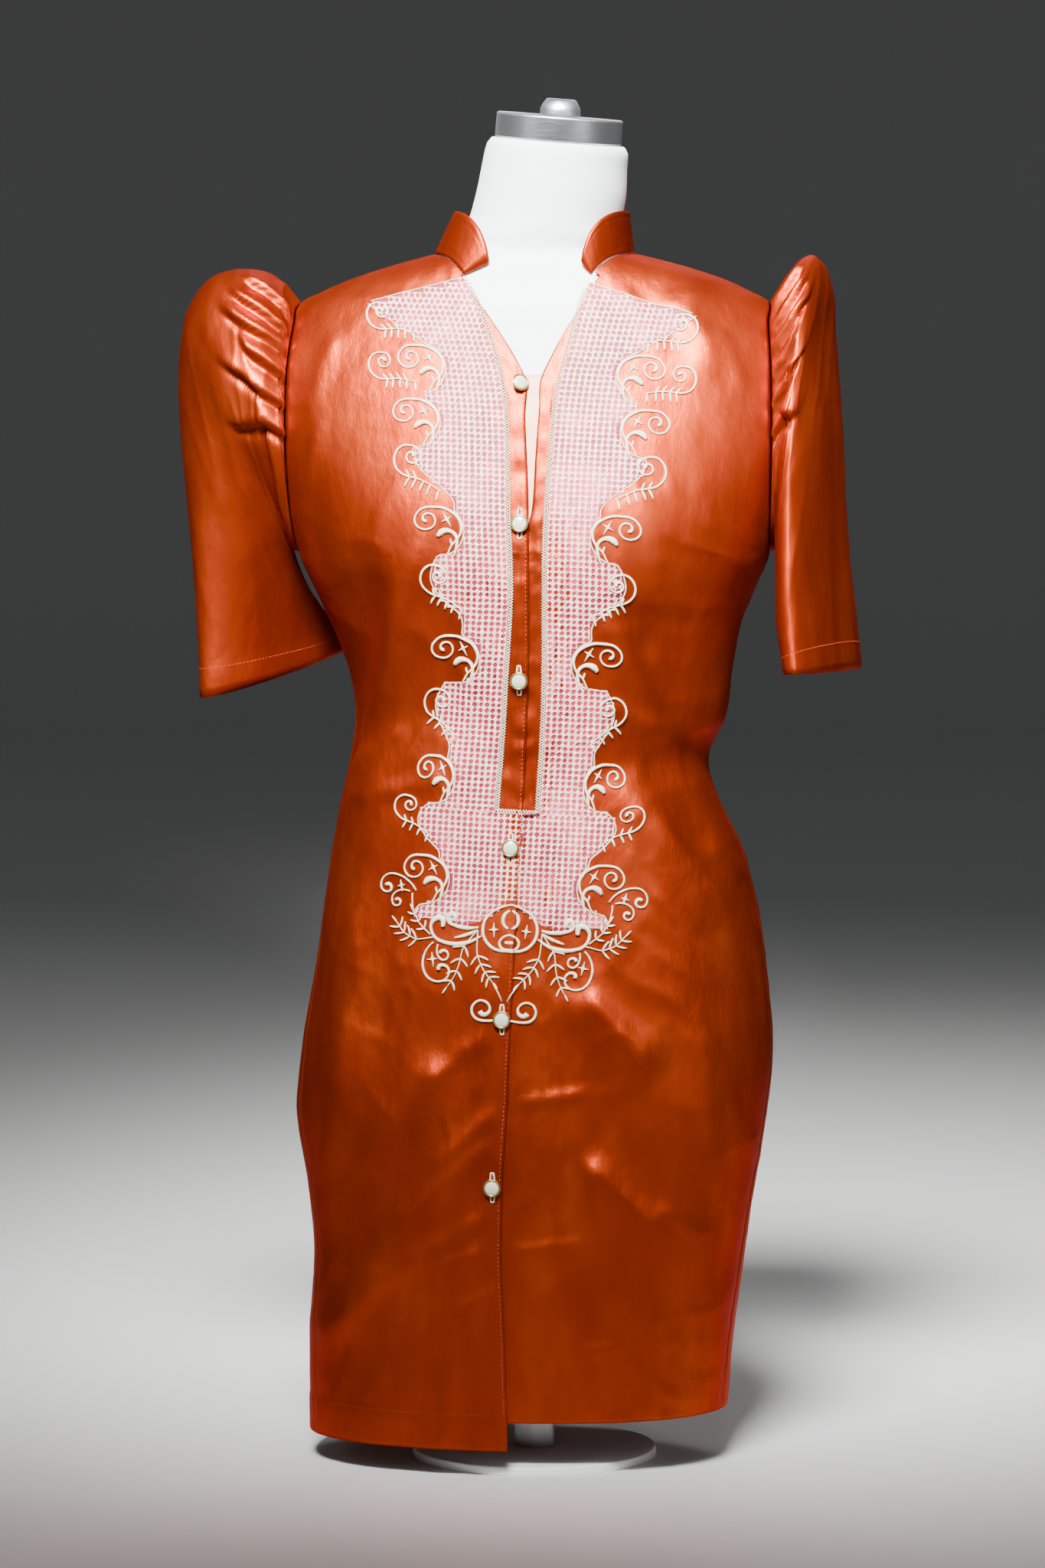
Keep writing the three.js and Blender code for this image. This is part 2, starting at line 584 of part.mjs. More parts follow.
// The stand collar: a band on the neckline, leaning in, with its two front top corners rounded.
function collar() {
  const height = 33;
  const corner = 13;
  const columns = 26;
  const rows = 4;
  const bottomEnd = necklineAngle(V_TOP_Z);
  const topEnd = bottomEnd - rad(7);
  const outer = [];
  const inner = [];
  const place = (share, up, sink) => {
    const turn = mix(mix(bottomEnd, topEnd, up), mix(2 * PI - bottomEnd, 2 * PI - topEnd, up), share);
    const isFront = cos(turn) >= 0;
    const seamAngle = turn > PI ? 2 * PI - turn : turn;
    const foot = isFront ? necklineHeight(seamAngle) : NECK_Z;
    const backShare = isFront ? 0 : abs(cos(turn));
    const footRadius = mix(NECK_RADIUS, 67, backShare * backShare) - 1;
    const fromEnd = min(share, 1 - share) * 440;
    const round = fromEnd < corner ? sqrt(1 - pow(1 - fromEnd / corner, 2)) : 1;
    const tall = height * (1 - (1 - round) * 0.4);
    const radius = mix(footRadius, footRadius - mix(10, 4, backShare), up) - sink;
    const shift = mix(0, 6, up);
    const z = foot + SEAM + 0.2 + tall * up;
    return new THREE.Vector3(shift + radius * sin(turn), -radius * cos(turn) - shift / 2, z);
  };
  for (const up of steps(0, 1, rows)) {
    const shares = steps(0, 1, columns).map((t) => t + 0.35 * (sin(2 * PI * t) / (2 * PI)) * -1);
    outer.push(shares.map((share) => place(share, up, 0)));
    inner.push(shares.map((share) => place(share, up, COLLAR_WALL)));
  }
  return wallGeometry(outer, inner, false);
}

// A shank button: a rimmed dome with a short shank behind it.
function button() {
  const rim = BUTTON_RADIUS;
  const face = BUTTON_THICK;
  const profile = [
    [0, 0],
    [SHANK_RADIUS, 0],
    [SHANK_RADIUS, SHANK_LENGTH],
    [rim - 1, SHANK_LENGTH],
    [rim, SHANK_LENGTH + 0.8],
    [rim, SHANK_LENGTH + 1.8],
    [rim - 0.9, SHANK_LENGTH + 2.3],
    [rim - 1.6, SHANK_LENGTH + 1.8],
    [rim * 0.45, face + 0.6],
    [0, face + 0.9],
  ];
  return new THREE.LatheGeometry(profile.map(([r, h]) => new THREE.Vector2(r, h)), 14);
}

// The torso: sections from the table, then the shoulders just under the dress, then the neck.
function torso() {
  const turns = steps(0, 2 * PI, TORSO_COLUMNS).slice(0, -1);
  const section = (row) =>
    turns.map((turn) => {
      const depth = cos(turn) >= 0 ? row.front : row.back;
      const round = row.round ?? 2;
      const radius = pow(pow(abs(sin(turn)) / row.half, round) + pow(abs(cos(turn)) / depth, round), -1 / round);
      return new THREE.Vector3((row.x ?? 0) + radius * sin(turn), (row.y ?? 0) - radius * cos(turn), row.z);
    });
  const shoulders = steps(SHOULDER_Z - 6, NECK_Z - 1, 7).map((z) =>
    turns.map((turn) => {
      const point = shell(turn, z).addScaledVector(shellNormal(turn, z), -WALL - REST_GAP);
      point.x = THREE.MathUtils.clamp(point.x, -ARM_PLATE_X, ARM_PLATE_X);
      return point;
    }),
  );
  const neck = NECK.map((row) => {
    const lean = smooth((row.z - NECK[0].z) / (NECK.at(-1).z - NECK[0].z));
    return section(row).map((p) => {
      const aside = tan(rad(LEAN_SIDE)) * (p.x - row.x);
      const ahead = tan(rad(LEAN_FRONT)) * (p.y - row.y);
      return p.setZ(p.z + lean * (ahead - aside));
    });
  });
  return stackGeometry([...TORSO.map(section), ...shoulders, ...neck]);
}

function latheSolid(profile, segments) {
  return new THREE.LatheGeometry(profile.map(([r, h]) => new THREE.Vector2(r, h)), segments);
}

function neckCap() {
  return latheSolid(
    [
      [0, 0],
      [CAP_RADIUS, 0],
      [CAP_RADIUS, CAP_HEIGHT - 2],
      [CAP_RADIUS - 2, CAP_HEIGHT],
      [0, CAP_HEIGHT],
    ],
    32,
  );
}

function capKnob() {
  return latheSolid(
    [
      [0, 0],
      [KNOB_RADIUS, 0],
      [KNOB_RADIUS, KNOB_HEIGHT * 0.35],
      [KNOB_RADIUS * 0.8, KNOB_HEIGHT * 0.85],
      [KNOB_RADIUS * 0.6, KNOB_HEIGHT],
      [0, KNOB_HEIGHT],
    ],
    KNOB_FACETS,
  );
}

function basePlate() {
  return latheSolid(
    [
      [0, 0],
      [BASE_RADIUS, 0],
      [BASE_RADIUS, BASE_THICK - 2],
      [BASE_RADIUS - 2, BASE_THICK],
      [0, BASE_THICK],
    ],
    48,
  );
}

const satin = new THREE.MeshStandardMaterial({ color: 0xc4491a, roughness: 0.42, metalness: 0.15 });
const sheer = new THREE.MeshStandardMaterial({ color: 0xf0a27c, roughness: 0.5, metalness: 0 });
const pearl = new THREE.MeshStandardMaterial({ color: 0xece9d8, roughness: 0.25, metalness: 0.1 });
const jersey = new THREE.MeshStandardMaterial({ color: 0xe4eeec, roughness: 0.85, metalness: 0 });
const aluminium = new THREE.MeshStandardMaterial({ color: 0xa9b0b4, roughness: 0.35, metalness: 0.9 });
const steel = new THREE.MeshStandardMaterial({ color: 0x8c9093, roughness: 0.4, metalness: 0.9 });
const paint = new THREE.MeshStandardMaterial({ color: 0xe6e6e3, roughness: 0.5, metalness: 0 });

const part = new THREE.Group();
const dressed = new THREE.Group();
dressed.position.z = LIFT;
part.add(dressed);

function add(name, geometry, material, parent = dressed) {
  const mesh = new THREE.Mesh(geometry, material);
  mesh.name = name;
  parent.add(mesh);
  return mesh;
}

// Cloth
add("front_right", frontPanel("right", RIGHT_EDGE, RIGHT_HEM_Z, lapLift), satin);
add("front_left", frontPanel("left", LEFT_EDGE, LEFT_HEM_Z, () => 0), satin);
add("back", backPanel(), satin);
add("underlap", underlap(), sheer);
add("sleeve_right", sleeve("right", RIGHT_SLEEVE), satin);
add("sleeve_left", sleeve("left", LEFT_SLEEVE), satin);
add("collar", collar(), satin);

// Buttons stand square on the right front.
BUTTONS.forEach(({ x, z }, i) => {
  const angle = angleAtX(x, z);
  const mesh = add(`button_${i + 1}`, button(), pearl);
  mesh.position.copy(skin(angle, z, lapLift(x, z) + SEAM));
  mesh.quaternion.setFromUnitVectors(new THREE.Vector3(0, 1, 0), shellNormal(angle, z));
});

// The form, and the cap that follows the lean of its neck.
add("form_torso", torso(), jersey);
const neckTop = NECK.at(-1);
const head = new THREE.Group();
head.position.set(neckTop.x, neckTop.y, neckTop.z + SEAM);
head.rotation.set(rad(LEAN_FRONT), rad(LEAN_SIDE), 0);
dressed.add(head);
const upright = rad(90);
add("neck_cap", neckCap(), aluminium, head).rotation.x = upright;
const knob = add("cap_knob", capKnob(), aluminium, head);
knob.rotation.x = upright;
knob.position.z = CAP_HEIGHT + SEAM;

// The stand
const poleLength = TORSO[0].z + LIFT - BASE_THICK - 2 * SEAM;
const pole = add("pole", new THREE.CylinderGeometry(POLE_RADIUS, POLE_RADIUS, poleLength, 24), steel, part);
pole.rotation.x = upright;
pole.position.z = BASE_THICK + SEAM + poleLength / 2;
add("base_plate", basePlate(), paint, part).rotation.x = upright;

export default part;
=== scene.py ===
"""A barong dress of orange satin organza on a limbless dress form.

Lengths are in millimetres and turned into metres as each mesh is made. Heights are the CAD tables'.
The front faces -Y. Right and left are the wearer's: the right front is at -X and laps over the left.
"""

import bpy
import numpy as np
from mathutils import Matrix, Vector


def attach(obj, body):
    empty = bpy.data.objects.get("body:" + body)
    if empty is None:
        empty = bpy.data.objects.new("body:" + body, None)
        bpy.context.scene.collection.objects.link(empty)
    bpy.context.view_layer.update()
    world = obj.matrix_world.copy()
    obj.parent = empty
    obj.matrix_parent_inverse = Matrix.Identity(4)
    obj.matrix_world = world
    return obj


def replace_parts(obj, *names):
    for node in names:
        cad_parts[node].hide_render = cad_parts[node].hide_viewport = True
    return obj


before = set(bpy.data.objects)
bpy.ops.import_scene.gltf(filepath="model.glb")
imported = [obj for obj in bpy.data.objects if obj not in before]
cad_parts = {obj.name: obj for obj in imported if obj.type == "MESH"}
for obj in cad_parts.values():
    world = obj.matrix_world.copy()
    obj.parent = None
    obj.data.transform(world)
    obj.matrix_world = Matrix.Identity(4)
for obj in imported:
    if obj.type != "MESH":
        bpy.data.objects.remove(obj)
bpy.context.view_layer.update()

MM = 0.001
LIFT = 30  # the tables' zero level above the floor
SIGN = {"right": -1, "left": 1}


def table(names, rows):
    """A short table, as one array for each named column."""
    return {name: np.array([row[i] for row in rows], float) for i, name in enumerate(names.split())}


# Sizes that the CAD model has too
WALL = 1.5
SEAM = 0.3
HEM_WALL = 2.4
HEM_DEPTH = 30
CUFF_DEPTH = 13
COLLAR_WALL = 2.4
COLLAR_HEIGHT = 33
UNDERARM_Z = 694
SHOULDER_Z = 892
NECK_Z = 930
V_TOP_Z = 912
V_BOTTOM_Z = 834
RIGHT_HEM_Z = -8
LEFT_HEM_Z = 14
ARMHOLE_FRONT = 58
ARMHOLE_BACK = 62
NECK_RADIUS = 80
REST_GAP = 2.1
SLEEVE_LENGTH = 300
COLLAR_LENGTH = 440
PANEL_REACH = 130  # the cloth's mean distance from its middle
THINNER = 0.3  # the skin's wall is this much thinner than the CAD wall
ARMHOLE_MIDDLE = (UNDERARM_Z + SHOULDER_Z) / 2
ARMHOLE_HALF = (SHOULDER_Z - UNDERARM_Z) / 2

BODY = table("z right left front back round", [
    (-12, 180, 153, 109, 107, 2.3),
    (60, 181, 159, 109, 107, 2.3),
    (135, 177, 169, 111, 109, 2.3),
    (190, 182, 177, 113, 112, 2.35),
    (245, 190, 186, 116, 115, 2.4),
    (300, 186, 191, 118, 118, 2.4),
    (350, 177, 187, 118, 115, 2.4),
    (405, 168, 180, 115, 105, 2.35),
    (460, 161, 166, 111, 92, 2.3),
    (500, 153, 147, 108, 84, 2.25),
    (531, 147, 139, 108, 81, 2.2),
    (565, 143, 153, 110, 81, 2.2),
    (603, 149, 158, 114, 84, 2.3),
    (640, 163, 165, 118, 89, 2.35),
    (675, 179, 180, 121, 94, 2.4),
    (694, 187, 187, 121, 96, 2.4),
    (740, 191, 190, 117, 100, 2.4),
    (790, 192, 191, 107, 102, 2.35),
    (840, 191, 190, 92, 98, 2.3),
    (875, 188, 187, 80, 87, 2.2),
    (892, 186, 186, 73, 80, 2.15),
    (901, 168, 170, 69.5, 75, 2.1),
    (909, 150, 153, 66.5, 71, 2.1),
    (917, 127, 129, 64, 67.5, 2.05),
    (925, 99, 101, 61.5, 67, 2),
    (930, 80, 80, 60, 66, 2),
])
SIDE_SEAMS = table("z right left", [(0, 74, 80), (200, 75, 83), (400, 79, 87), (694, 90, 90)])
RIGHT_EDGE = table("z x", [
    (0, -11), (84, -13.5), (150, -15.5), (213, -14), (265, -10.5), (348, -6.5), (452, -1),
    (533, 3), (621, 6.5), (730, 6.5), (801, 2.5), (834, 0.5), (912, -52),
])
LEFT_EDGE = table("z x", [
    (0, -34), (150, -37), (265, -32), (452, -22), (600, -15), (660, -8), (700, 2),
    (730, 9), (770, 11), (805, 13), (834, 15), (912, 57),
])
FOLD_COLUMNS = "x1 z1 x2 z2 width height"
FRONT_FOLDS = table(FOLD_COLUMNS, [
    (-118, 690, -150, 520, 26, -7),
    (-88, 690, -132, 440, 22, 6),
    (-132, 440, -150, 250, 26, 5),
    (-98, 330, -60, 560, 26, 3.5),
    (-60, 300, -130, 210, 18, 5),
    (-50, 230, -166, 62, 16, 5),
    (105, 660, 122, 520, 24, -7),
    (72, 520, 152, 410, 18, 6),
    (125, 470, 168, 330, 24, -3),
    (40, 356, 104, 290, 18, 5),
    (50, 225, 108, 155, 18, 5),
    (140, 300, 120, 120, 26, 4),
    (118, 905, 150, 830, 16, 4),
])
BACK_FOLDS = table(FOLD_COLUMNS, [
    (-70, 640, -120, 470, 24, 5),
    (75, 650, 118, 460, 24, 5),
    (0, 600, 10, 420, 30, -2.5),
    (-60, 400, -90, 60, 26, 4.5),
    (50, 380, 88, 70, 26, 4.5),
    (-10, 300, 6, 50, 28, -3.5),
    (-120, 800, -60, 700, 22, 4),
    (120, 805, 66, 700, 22, 4),
])
BUST_X, BUST_Z, BUST_HEIGHT, BUST_WIDTH, BUST_RISE = 82, 708, 8, 44, 46

SLEEVE_COLUMNS = "top_x top_y top_z under_x under_y under_z depth turn"
RIGHT_SLEEVE = table(SLEEVE_COLUMNS, [
    (-199, 0, 908, -193.5, 1, 696, 62, 1),
    (-216, -2, 917, -195, 4, 698, 65, 1),
    (-238, -5, 918, -197, 7, 698.5, 65, 6),
    (-259, -9, 911, -197, 10, 698, 62, 13),
    (-273, -13, 891, -198, 14, 695, 58, 17),
    (-280, -16, 862, -198, 19, 690, 53, 21),
    (-281, -18, 828, -197, 26, 683, 47, 26),
    (-278, -20, 780, -194, 36, 672, 41, 31),
    (-273, -21, 730, -189, 48, 660, 35, 35),
    (-269, -22, 680, -182, 60, 648, 30, 38),
    (-266, -23, 630, -172, 73, 635, 26, 41),
    (-263, -25, 578, -158, 86, 618, 24, 43),
])
LEFT_SLEEVE = table(SLEEVE_COLUMNS, [
    (198, 0, 910, 191.5, 1, 696, 61, 0),
    (209, 0, 922, 193.5, 2, 697.5, 64, -1),
    (219, 0, 928, 195, 3, 697.5, 67, -3),
    (228, 0, 922, 195.5, 3, 697, 70, -7),
    (233, 0, 904, 197, 3, 694, 72, -9),
    (234, -1, 875, 198, 3, 689, 74, -10),
    (236, -2, 840, 199, 3, 682, 75, -11),
    (238, -3, 798, 200, 3, 672, 76, -12),
    (239, -3, 750, 201, 3, 658, 77, -13),
    (241, -4, 702, 203, 3, 640, 78, -14),
    (245, -4, 652, 206, 4, 620, 79, -15),
    (249, -4, 601, 210, 4, 600, 80, -15),
])
PLEATS = table("start end reach bend", [
    (82, 120, 0.58, 4.5),
    (94, 130, 0.46, 4),
    (107, 117, 0.31, 3),
    (120, 143, 0.36, 4),
    (130, 147, 0.3, 3),
    (145, 155, 0.24, 2),
])
PLEAT_VALLEY, PLEAT_CREST = 3.2, 5
PLEAT_GAP = 7  # degrees

BUTTONS = table("x z", [(-3, 826), (0, 718), (-1, 597), (-8, 466), (-14, 333), (-22, 201)])
BUTTON_RADIUS = 7

TORSO = table("z half front back round", [
    (150, 154, 97, 100, 2.2),
    (190, 160, 102, 105, 2.2),
    (250, 167, 106, 109, 2.2),
    (300, 170, 108, 110, 2.2),
    (350, 166, 107, 106, 2.2),
    (420, 151, 102, 95, 2.15),
    (480, 135, 98, 82, 2.1),
    (530, 126, 97, 73, 2.1),
    (580, 131, 101, 73, 2.15),
    (640, 149, 109, 80, 2.2),
    (690, 165, 113, 87, 2.25),
    (740, 171, 108, 92, 2.3),
    (790, 173, 99, 94, 2.3),
    (840, 174, 85, 90, 2.3),
    (872, 174, 75, 81, 2.3),
])
NECK = table("z half front back x y", [
    (932, 70, 56, 57, 2, 0),
    (944, 65, 56, 55.5, 6, -1),
    (956, 61, 55.5, 54, 9, -2.5),
    (978, 59, 55, 54, 14, -5),
    (1000, 57, 54.5, 53.5, 17, -7),
    (1013, 55.5, 53.5, 52.5, 19, -8.5),
    (1018, 52, 51, 50, 19.5, -9),
])
ARM_PLATE_X = 174
LEAN_SIDE, LEAN_FRONT = np.radians(4.9), np.radians(4)
CAP_RADIUS, CAP_HEIGHT = 50, 20
KNOB_RADIUS, KNOB_HEIGHT = 16, 13
POLE_RADIUS = 16
BASE_RADIUS, BASE_THICK = 98, 7


def smooth(t):
    t = np.clip(t, 0, 1)
    return t * t * (3 - 2 * t)


def mix(a, b, t):
    return a + (b - a) * t


def read(rows, column, at, key="z"):
    """A column of a table at some heights, on a smooth curve through its rows."""
    x, y = rows[key], rows[column]
    slope = np.gradient(y)
    slope[1:-1] = (y[2:] - y[:-2]) / (x[2:] - x[:-2])
    slope[0] = (y[1] - y[0]) / (x[1] - x[0])
    slope[-1] = (y[-1] - y[-2]) / (x[-1] - x[-2])
    at = np.clip(at, x[0], x[-1])
    i = np.clip(np.searchsorted(x, at, "right") - 1, 0, len(x) - 2)
    gap = x[i + 1] - x[i]
    t = (at - x[i]) / gap
    return (
        (2 * t**3 - 3 * t**2 + 1) * y[i]
        + (t**3 - 2 * t**2 + t) * gap * slope[i]
        + (3 * t**2 - 2 * t**3) * y[i + 1]
        + (t**3 - t**2) * gap * slope[i + 1]
    )


def armhole_depth(z, reach):
    share = np.clip((z - ARMHOLE_MIDDLE) / ARMHOLE_HALF, -1, 1)
    return reach * np.sqrt(1 - share * share)


def oval(angle, half, depth, round_):
    """The reach of a rounded oval at an angle from the middle of its front."""
    side, ahead = np.abs(np.sin(angle)) / half, np.abs(np.cos(angle)) / depth
    return (side**round_ + ahead**round_) ** (-1 / round_)


def shell_radius(angle, z):
    """The smooth surface that the dress is cut to, by the angle from the middle of the front."""
    angle, z = np.broadcast_arrays(angle, z)
    round_ = read(BODY, "round", z)
    is_front = np.cos(angle) >= 0
    depth = np.where(is_front, read(BODY, "front", z), read(BODY, "back", z))
    seam = (read(BODY, "right", z) + read(BODY, "left", z)) / 2
    armhole = armhole_depth(z, np.where(is_front, ARMHOLE_FRONT, ARMHOLE_BACK))
    half = seam / (1 - (armhole / depth) ** round_) ** (1 / round_)
    return oval(angle, half, depth, round_)


def shell_middle(z):
    return (read(BODY, "left", z) - read(BODY, "right", z)) / 2


def shell(angle, z):
    angle, z = np.broadcast_arrays(angle, np.asarray(z, float))
    radius = shell_radius(angle, z)
    return np.stack([shell_middle(z) + radius * np.sin(angle), -radius * np.cos(angle), z], -1)


def unit(v):
    return v / np.maximum(np.linalg.norm(v, axis=-1, keepdims=True), 1e-9)


def shell_normal(angle, z):
    step, rise = 0.004, 1.5
    low = np.maximum(z - rise, BODY["z"][0])
    high = np.minimum(z + rise, NECK_Z)
    across = shell(angle + step, z) - shell(angle - step, z)
    up = shell(angle, high) - shell(angle, low)
    return unit(np.cross(across, up))


def fold_sum(folds, x, z):
    """The height of soft ridges along short lines, seen from the front or the back."""
    total = np.zeros(np.shape(x))
    for x1, z1, x2, z2, width, height in zip(*folds.values()):
        dx, dz = x2 - x1, z2 - z1
        length = np.hypot(dx, dz)
        share = ((x - x1) * dx + (z - z1) * dz) / length**2
        aside = np.abs((x - x1) * dz - (z - z1) * dx) / length / width
        taper = smooth(share / 0.3 + 0.3) * smooth((1 - share) / 0.3 + 0.3)
        total += height * np.exp(-aside * aside) * taper
    return total


# Soft crumpling of the stiff, thin cloth
def lattice(i, j, seed):
    """A fixed number from -1 to 1 for each point of a grid."""
    mask = 0xFFFFFFFF
    n = (i * 374761393 + j * 668265263 + seed * 974634777) & mask
    n = ((n ^ (n >> 13)) * 1274126177) & mask
    return ((n ^ (n >> 16)) & 0xFFFF) / 32767.5 - 1


def noise(u, v, seed):
    i, j = np.floor(u).astype(np.int64), np.floor(v).astype(np.int64)
    a, b = smooth(u - i), smooth(v - j)
    low = mix(lattice(i, j, seed), lattice(i + 1, j, seed), a)
    high = mix(lattice(i, j + 1, seed), lattice(i + 1, j + 1, seed), a)
    return mix(low, high, b)


def crease(u, v, seed):
    """Soft ridges with a narrow top, and wide flat ground between them."""
    return (1 - np.abs(noise(u, v, seed))) ** 3 - 0.3


def crumple(x, z, seed):
    """Creases that run down and outwards from the front edges, with finer ones across them."""
    side = np.tanh(x / 40)
    slant = np.radians(mix(12, 34, 0.5 + 0.5 * noise(x / 160, z / 150, seed + 1))) * side
    along = z * np.cos(slant) - x * np.sin(slant)
    across = x * np.cos(slant) + z * np.sin(slant)
    warp = 14 * noise(x / 60, z / 70, seed + 2)
    large = crease((across + warp) / 46, along / 150, seed + 3)
    medium = crease((across - warp) / 21, along / 62, seed + 4)
    bend = 9 * noise(x / 35, z / 35, seed + 5)
    cross = crease((along + bend) / 34, across / 75, seed + 6)
    small = noise(x / 9, z / 13, seed + 7)
    return 1.9 * large + 0.9 * medium + 0.75 * cross + 0.12 * small


EXTRA_FOLDS = table(FOLD_COLUMNS, [
    (-18, 262, -72, 214, 7, 2.4),
    (-22, 240, -100, 160, 8, 2.6),
    (-26, 180, -95, 132, 6, 1.8),
    (-30, 150, -64, 136, 5, 1.8),
    (-25, 322, -75, 282, 7, 2.0),
    (-70, 165, -160, 66, 8, 3.0),
    (-18, 120, -60, 96, 6, 1.6),
    (0, 268, 50, 276, 5, 2.0),
    (-8, 150, 46, 157, 5, 1.8),
    (54, 352, 100, 298, 7, 2.6),
    (54, 222, 106, 164, 7, 2.6),
    (108, 185, 138, 158, 6, 2.2),
    (46, 70, 78, 74, 6, 1.8),
    (138, 470, 176, 436, 6, 2.6),
    (100, 620, 140, 560, 8, 2.4),
    (-110, 640, -138, 560, 8, 2.0),
    (-90, 560, -140, 520, 7, 1.8),
    (60, 580, 128, 548, 8, 2.2),
    (-60, 520, -136, 500, 7, 1.8),
    (70, 905, 110, 850, 7, 1.6),
    (105, 895, 150, 850, 7, 1.8),
    (150, 870, 172, 820, 6, 1.8),
    (-150, 868, -172, 800, 7, 2.2),
    (-160, 800, -176, 740, 6, 1.8),
    (58, 660, 162, 448, 11, 3.6),
    (-78, 706, -140, 500, 10, 3.2),
    (40, 300, 74, 120, 12, 2.0),
    (-60, 300, -40, 120, 12, 1.8),
    (132, 330, 150, 200, 10, 2.4),
    (-136, 330, -158, 200, 10, 2.4),
])


# The line down the front between the two sides of the openwork, and half the plain strips' width
CENTRE = table("z x half", [
    (330, -13.4, 15), (403, -8, 15.5), (494, -3.3, 15.6), (557, 1.2, 15), (599, 3.4, 14.5),
    (666, 6, 12.8), (720, 5.6, 14.2), (800, 6.2, 18), (835, 5.5, 23), (850, 5, 27.5),
    (879, 3, 36), (905, 0, 46.5),
])


def puckers(x, z):
    """Small cross ridges of the plain strips, where their long seams draw them in."""
    inside = read(CENTRE, "half", z) - np.abs(x - read(CENTRE, "x", z))
    on_strip = smooth(inside / 4) * smooth((z - 494) / 8)
    ridges = noise(x / 16, z / 8, 91) + 0.6 * noise(x / 9, z / 4.5, 92)
    return 0.75 * ridges * on_strip


def lift_of_cloth(angle, point):
    """How far the cloth stands off the smooth surface."""
    x, z = point[..., 0], point[..., 2]
    is_front = np.cos(angle) >= 0
    aside = (np.abs(x) - BUST_X) / BUST_WIDTH
    rise = (z - BUST_Z) / BUST_RISE
    bust = BUST_HEIGHT * np.exp(-aside * aside - rise * rise)
    front = fold_sum(FRONT_FOLDS, x, z) + bust + fold_sum(EXTRA_FOLDS, x, z) + puckers(x, z)
    height = np.where(is_front, front, fold_sum(BACK_FOLDS, x, z))
    at_side = smooth(np.abs(np.cos(angle)) / 0.35)
    seam = np.where(x < 0, read(BODY, "right", z), read(BODY, "left", z))
    at_arm = mix(1, smooth((seam - np.abs(x)) / 30), smooth((z - UNDERARM_Z + 70) / 60))
    onto_back = 2 * np.sign(x) * 150 - x  # the creases run on round the side seams
    creases = crumple(np.where(is_front, x, onto_back), z, 11)
    tight = mix(1, 0.35, smooth((z - 690) / 90))
    quiet = mix(0.35, 1, smooth((seam - np.abs(x)) / 12))
    return height * at_side * at_arm + creases * tight * quiet


def skin(angle, z, lift):
    """A point of the dress, lifted off the smooth surface by its folds and by a given height."""
    point = shell(angle, z)
    height = lift_of_cloth(angle, point) + lift
    return point + shell_normal(angle, z) * height[..., None]


def angle_at_x(x, z):
    """The angle at which the smooth front has an x, found by repeated correction."""
    x, z = np.broadcast_arrays(np.asarray(x, float), np.asarray(z, float))
    offset = x - shell_middle(z)
    angle = np.arctan2(offset, read(BODY, "front", z))
    for _ in range(12):
        angle = np.arctan2(offset, shell_radius(angle, z) * np.cos(angle))
    return angle


def lap_lift(x, z):
    """The right front lies on the left one where they lap."""
    return (WALL + SEAM + 0.2) * smooth((x + 62) / 24) * smooth((760 - z) / 40)


def on_front(x, z, lift):
    """Points and outward directions on the front at x and z."""
    angle = angle_at_x(x, z)
    over = np.where(x < read(RIGHT_EDGE, "x", z), lap_lift(x, z), 0)
    return skin(angle, z, over + lift), shell_normal(angle, z)


def last_true(test, low, high, shape):
    """The last value between low and high for which a test holds, found by halving the span."""
    low, high = np.full(shape, float(low)), np.full(shape, float(high))
    for _ in range(30):
        middle = (low + high) / 2
        holds = test(middle)
        low, high = np.where(holds, middle, low), np.where(holds, high, middle)
    return low


def neckline_angle(z):
    return last_true(lambda angle: shell_radius(angle, z) < NECK_RADIUS, 0, np.pi / 2, np.shape(z))


def neckline_height(angle):
    return last_true(
        lambda z: shell_radius(angle, z) > NECK_RADIUS, V_TOP_Z - 10, NECK_Z, np.shape(angle)
    )


def outer_angle(z, side, reach, is_back):
    """Where a panel ends: at its side seam, and at the armhole above that."""
    below = np.radians(read(SIDE_SEAMS, side, z))
    at_arm = np.arctan2(read(BODY, side, z), armhole_depth(z, reach))
    return np.where(z < UNDERARM_Z, below, np.pi - at_arm if is_back else at_arm)


# Meshes
def mesh_object(name, points, faces, material, slot):
    """A smooth-shaded mesh of the given points, which are in millimetres."""
    mesh = bpy.data.meshes.new(name)
    metres = (np.asarray(points) + (0, 0, LIFT)) * MM
    mesh.from_pydata(metres.tolist(), [], [tuple(f) for f in faces])
    mesh.validate()
    mesh.materials.append(material)
    mesh.shade_smooth()
    obj = bpy.data.objects.new(f"{name}_look", mesh)
    bpy.context.collection.objects.link(obj)
    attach(obj, "root")
    return obj


def grid_faces(rows, columns, is_ring=False, start=0):
    """Four-sided faces of a grid of points. Rows run up and columns run round."""
    spans = columns if is_ring else columns - 1
    r, c = np.meshgrid(np.arange(rows - 1), np.arange(spans), indexing="ij")
    here, right = r * columns + c, r * columns + (c + 1) % columns
    return np.stack([here, right, right + columns, here + columns], -1).reshape(-1, 4) + start


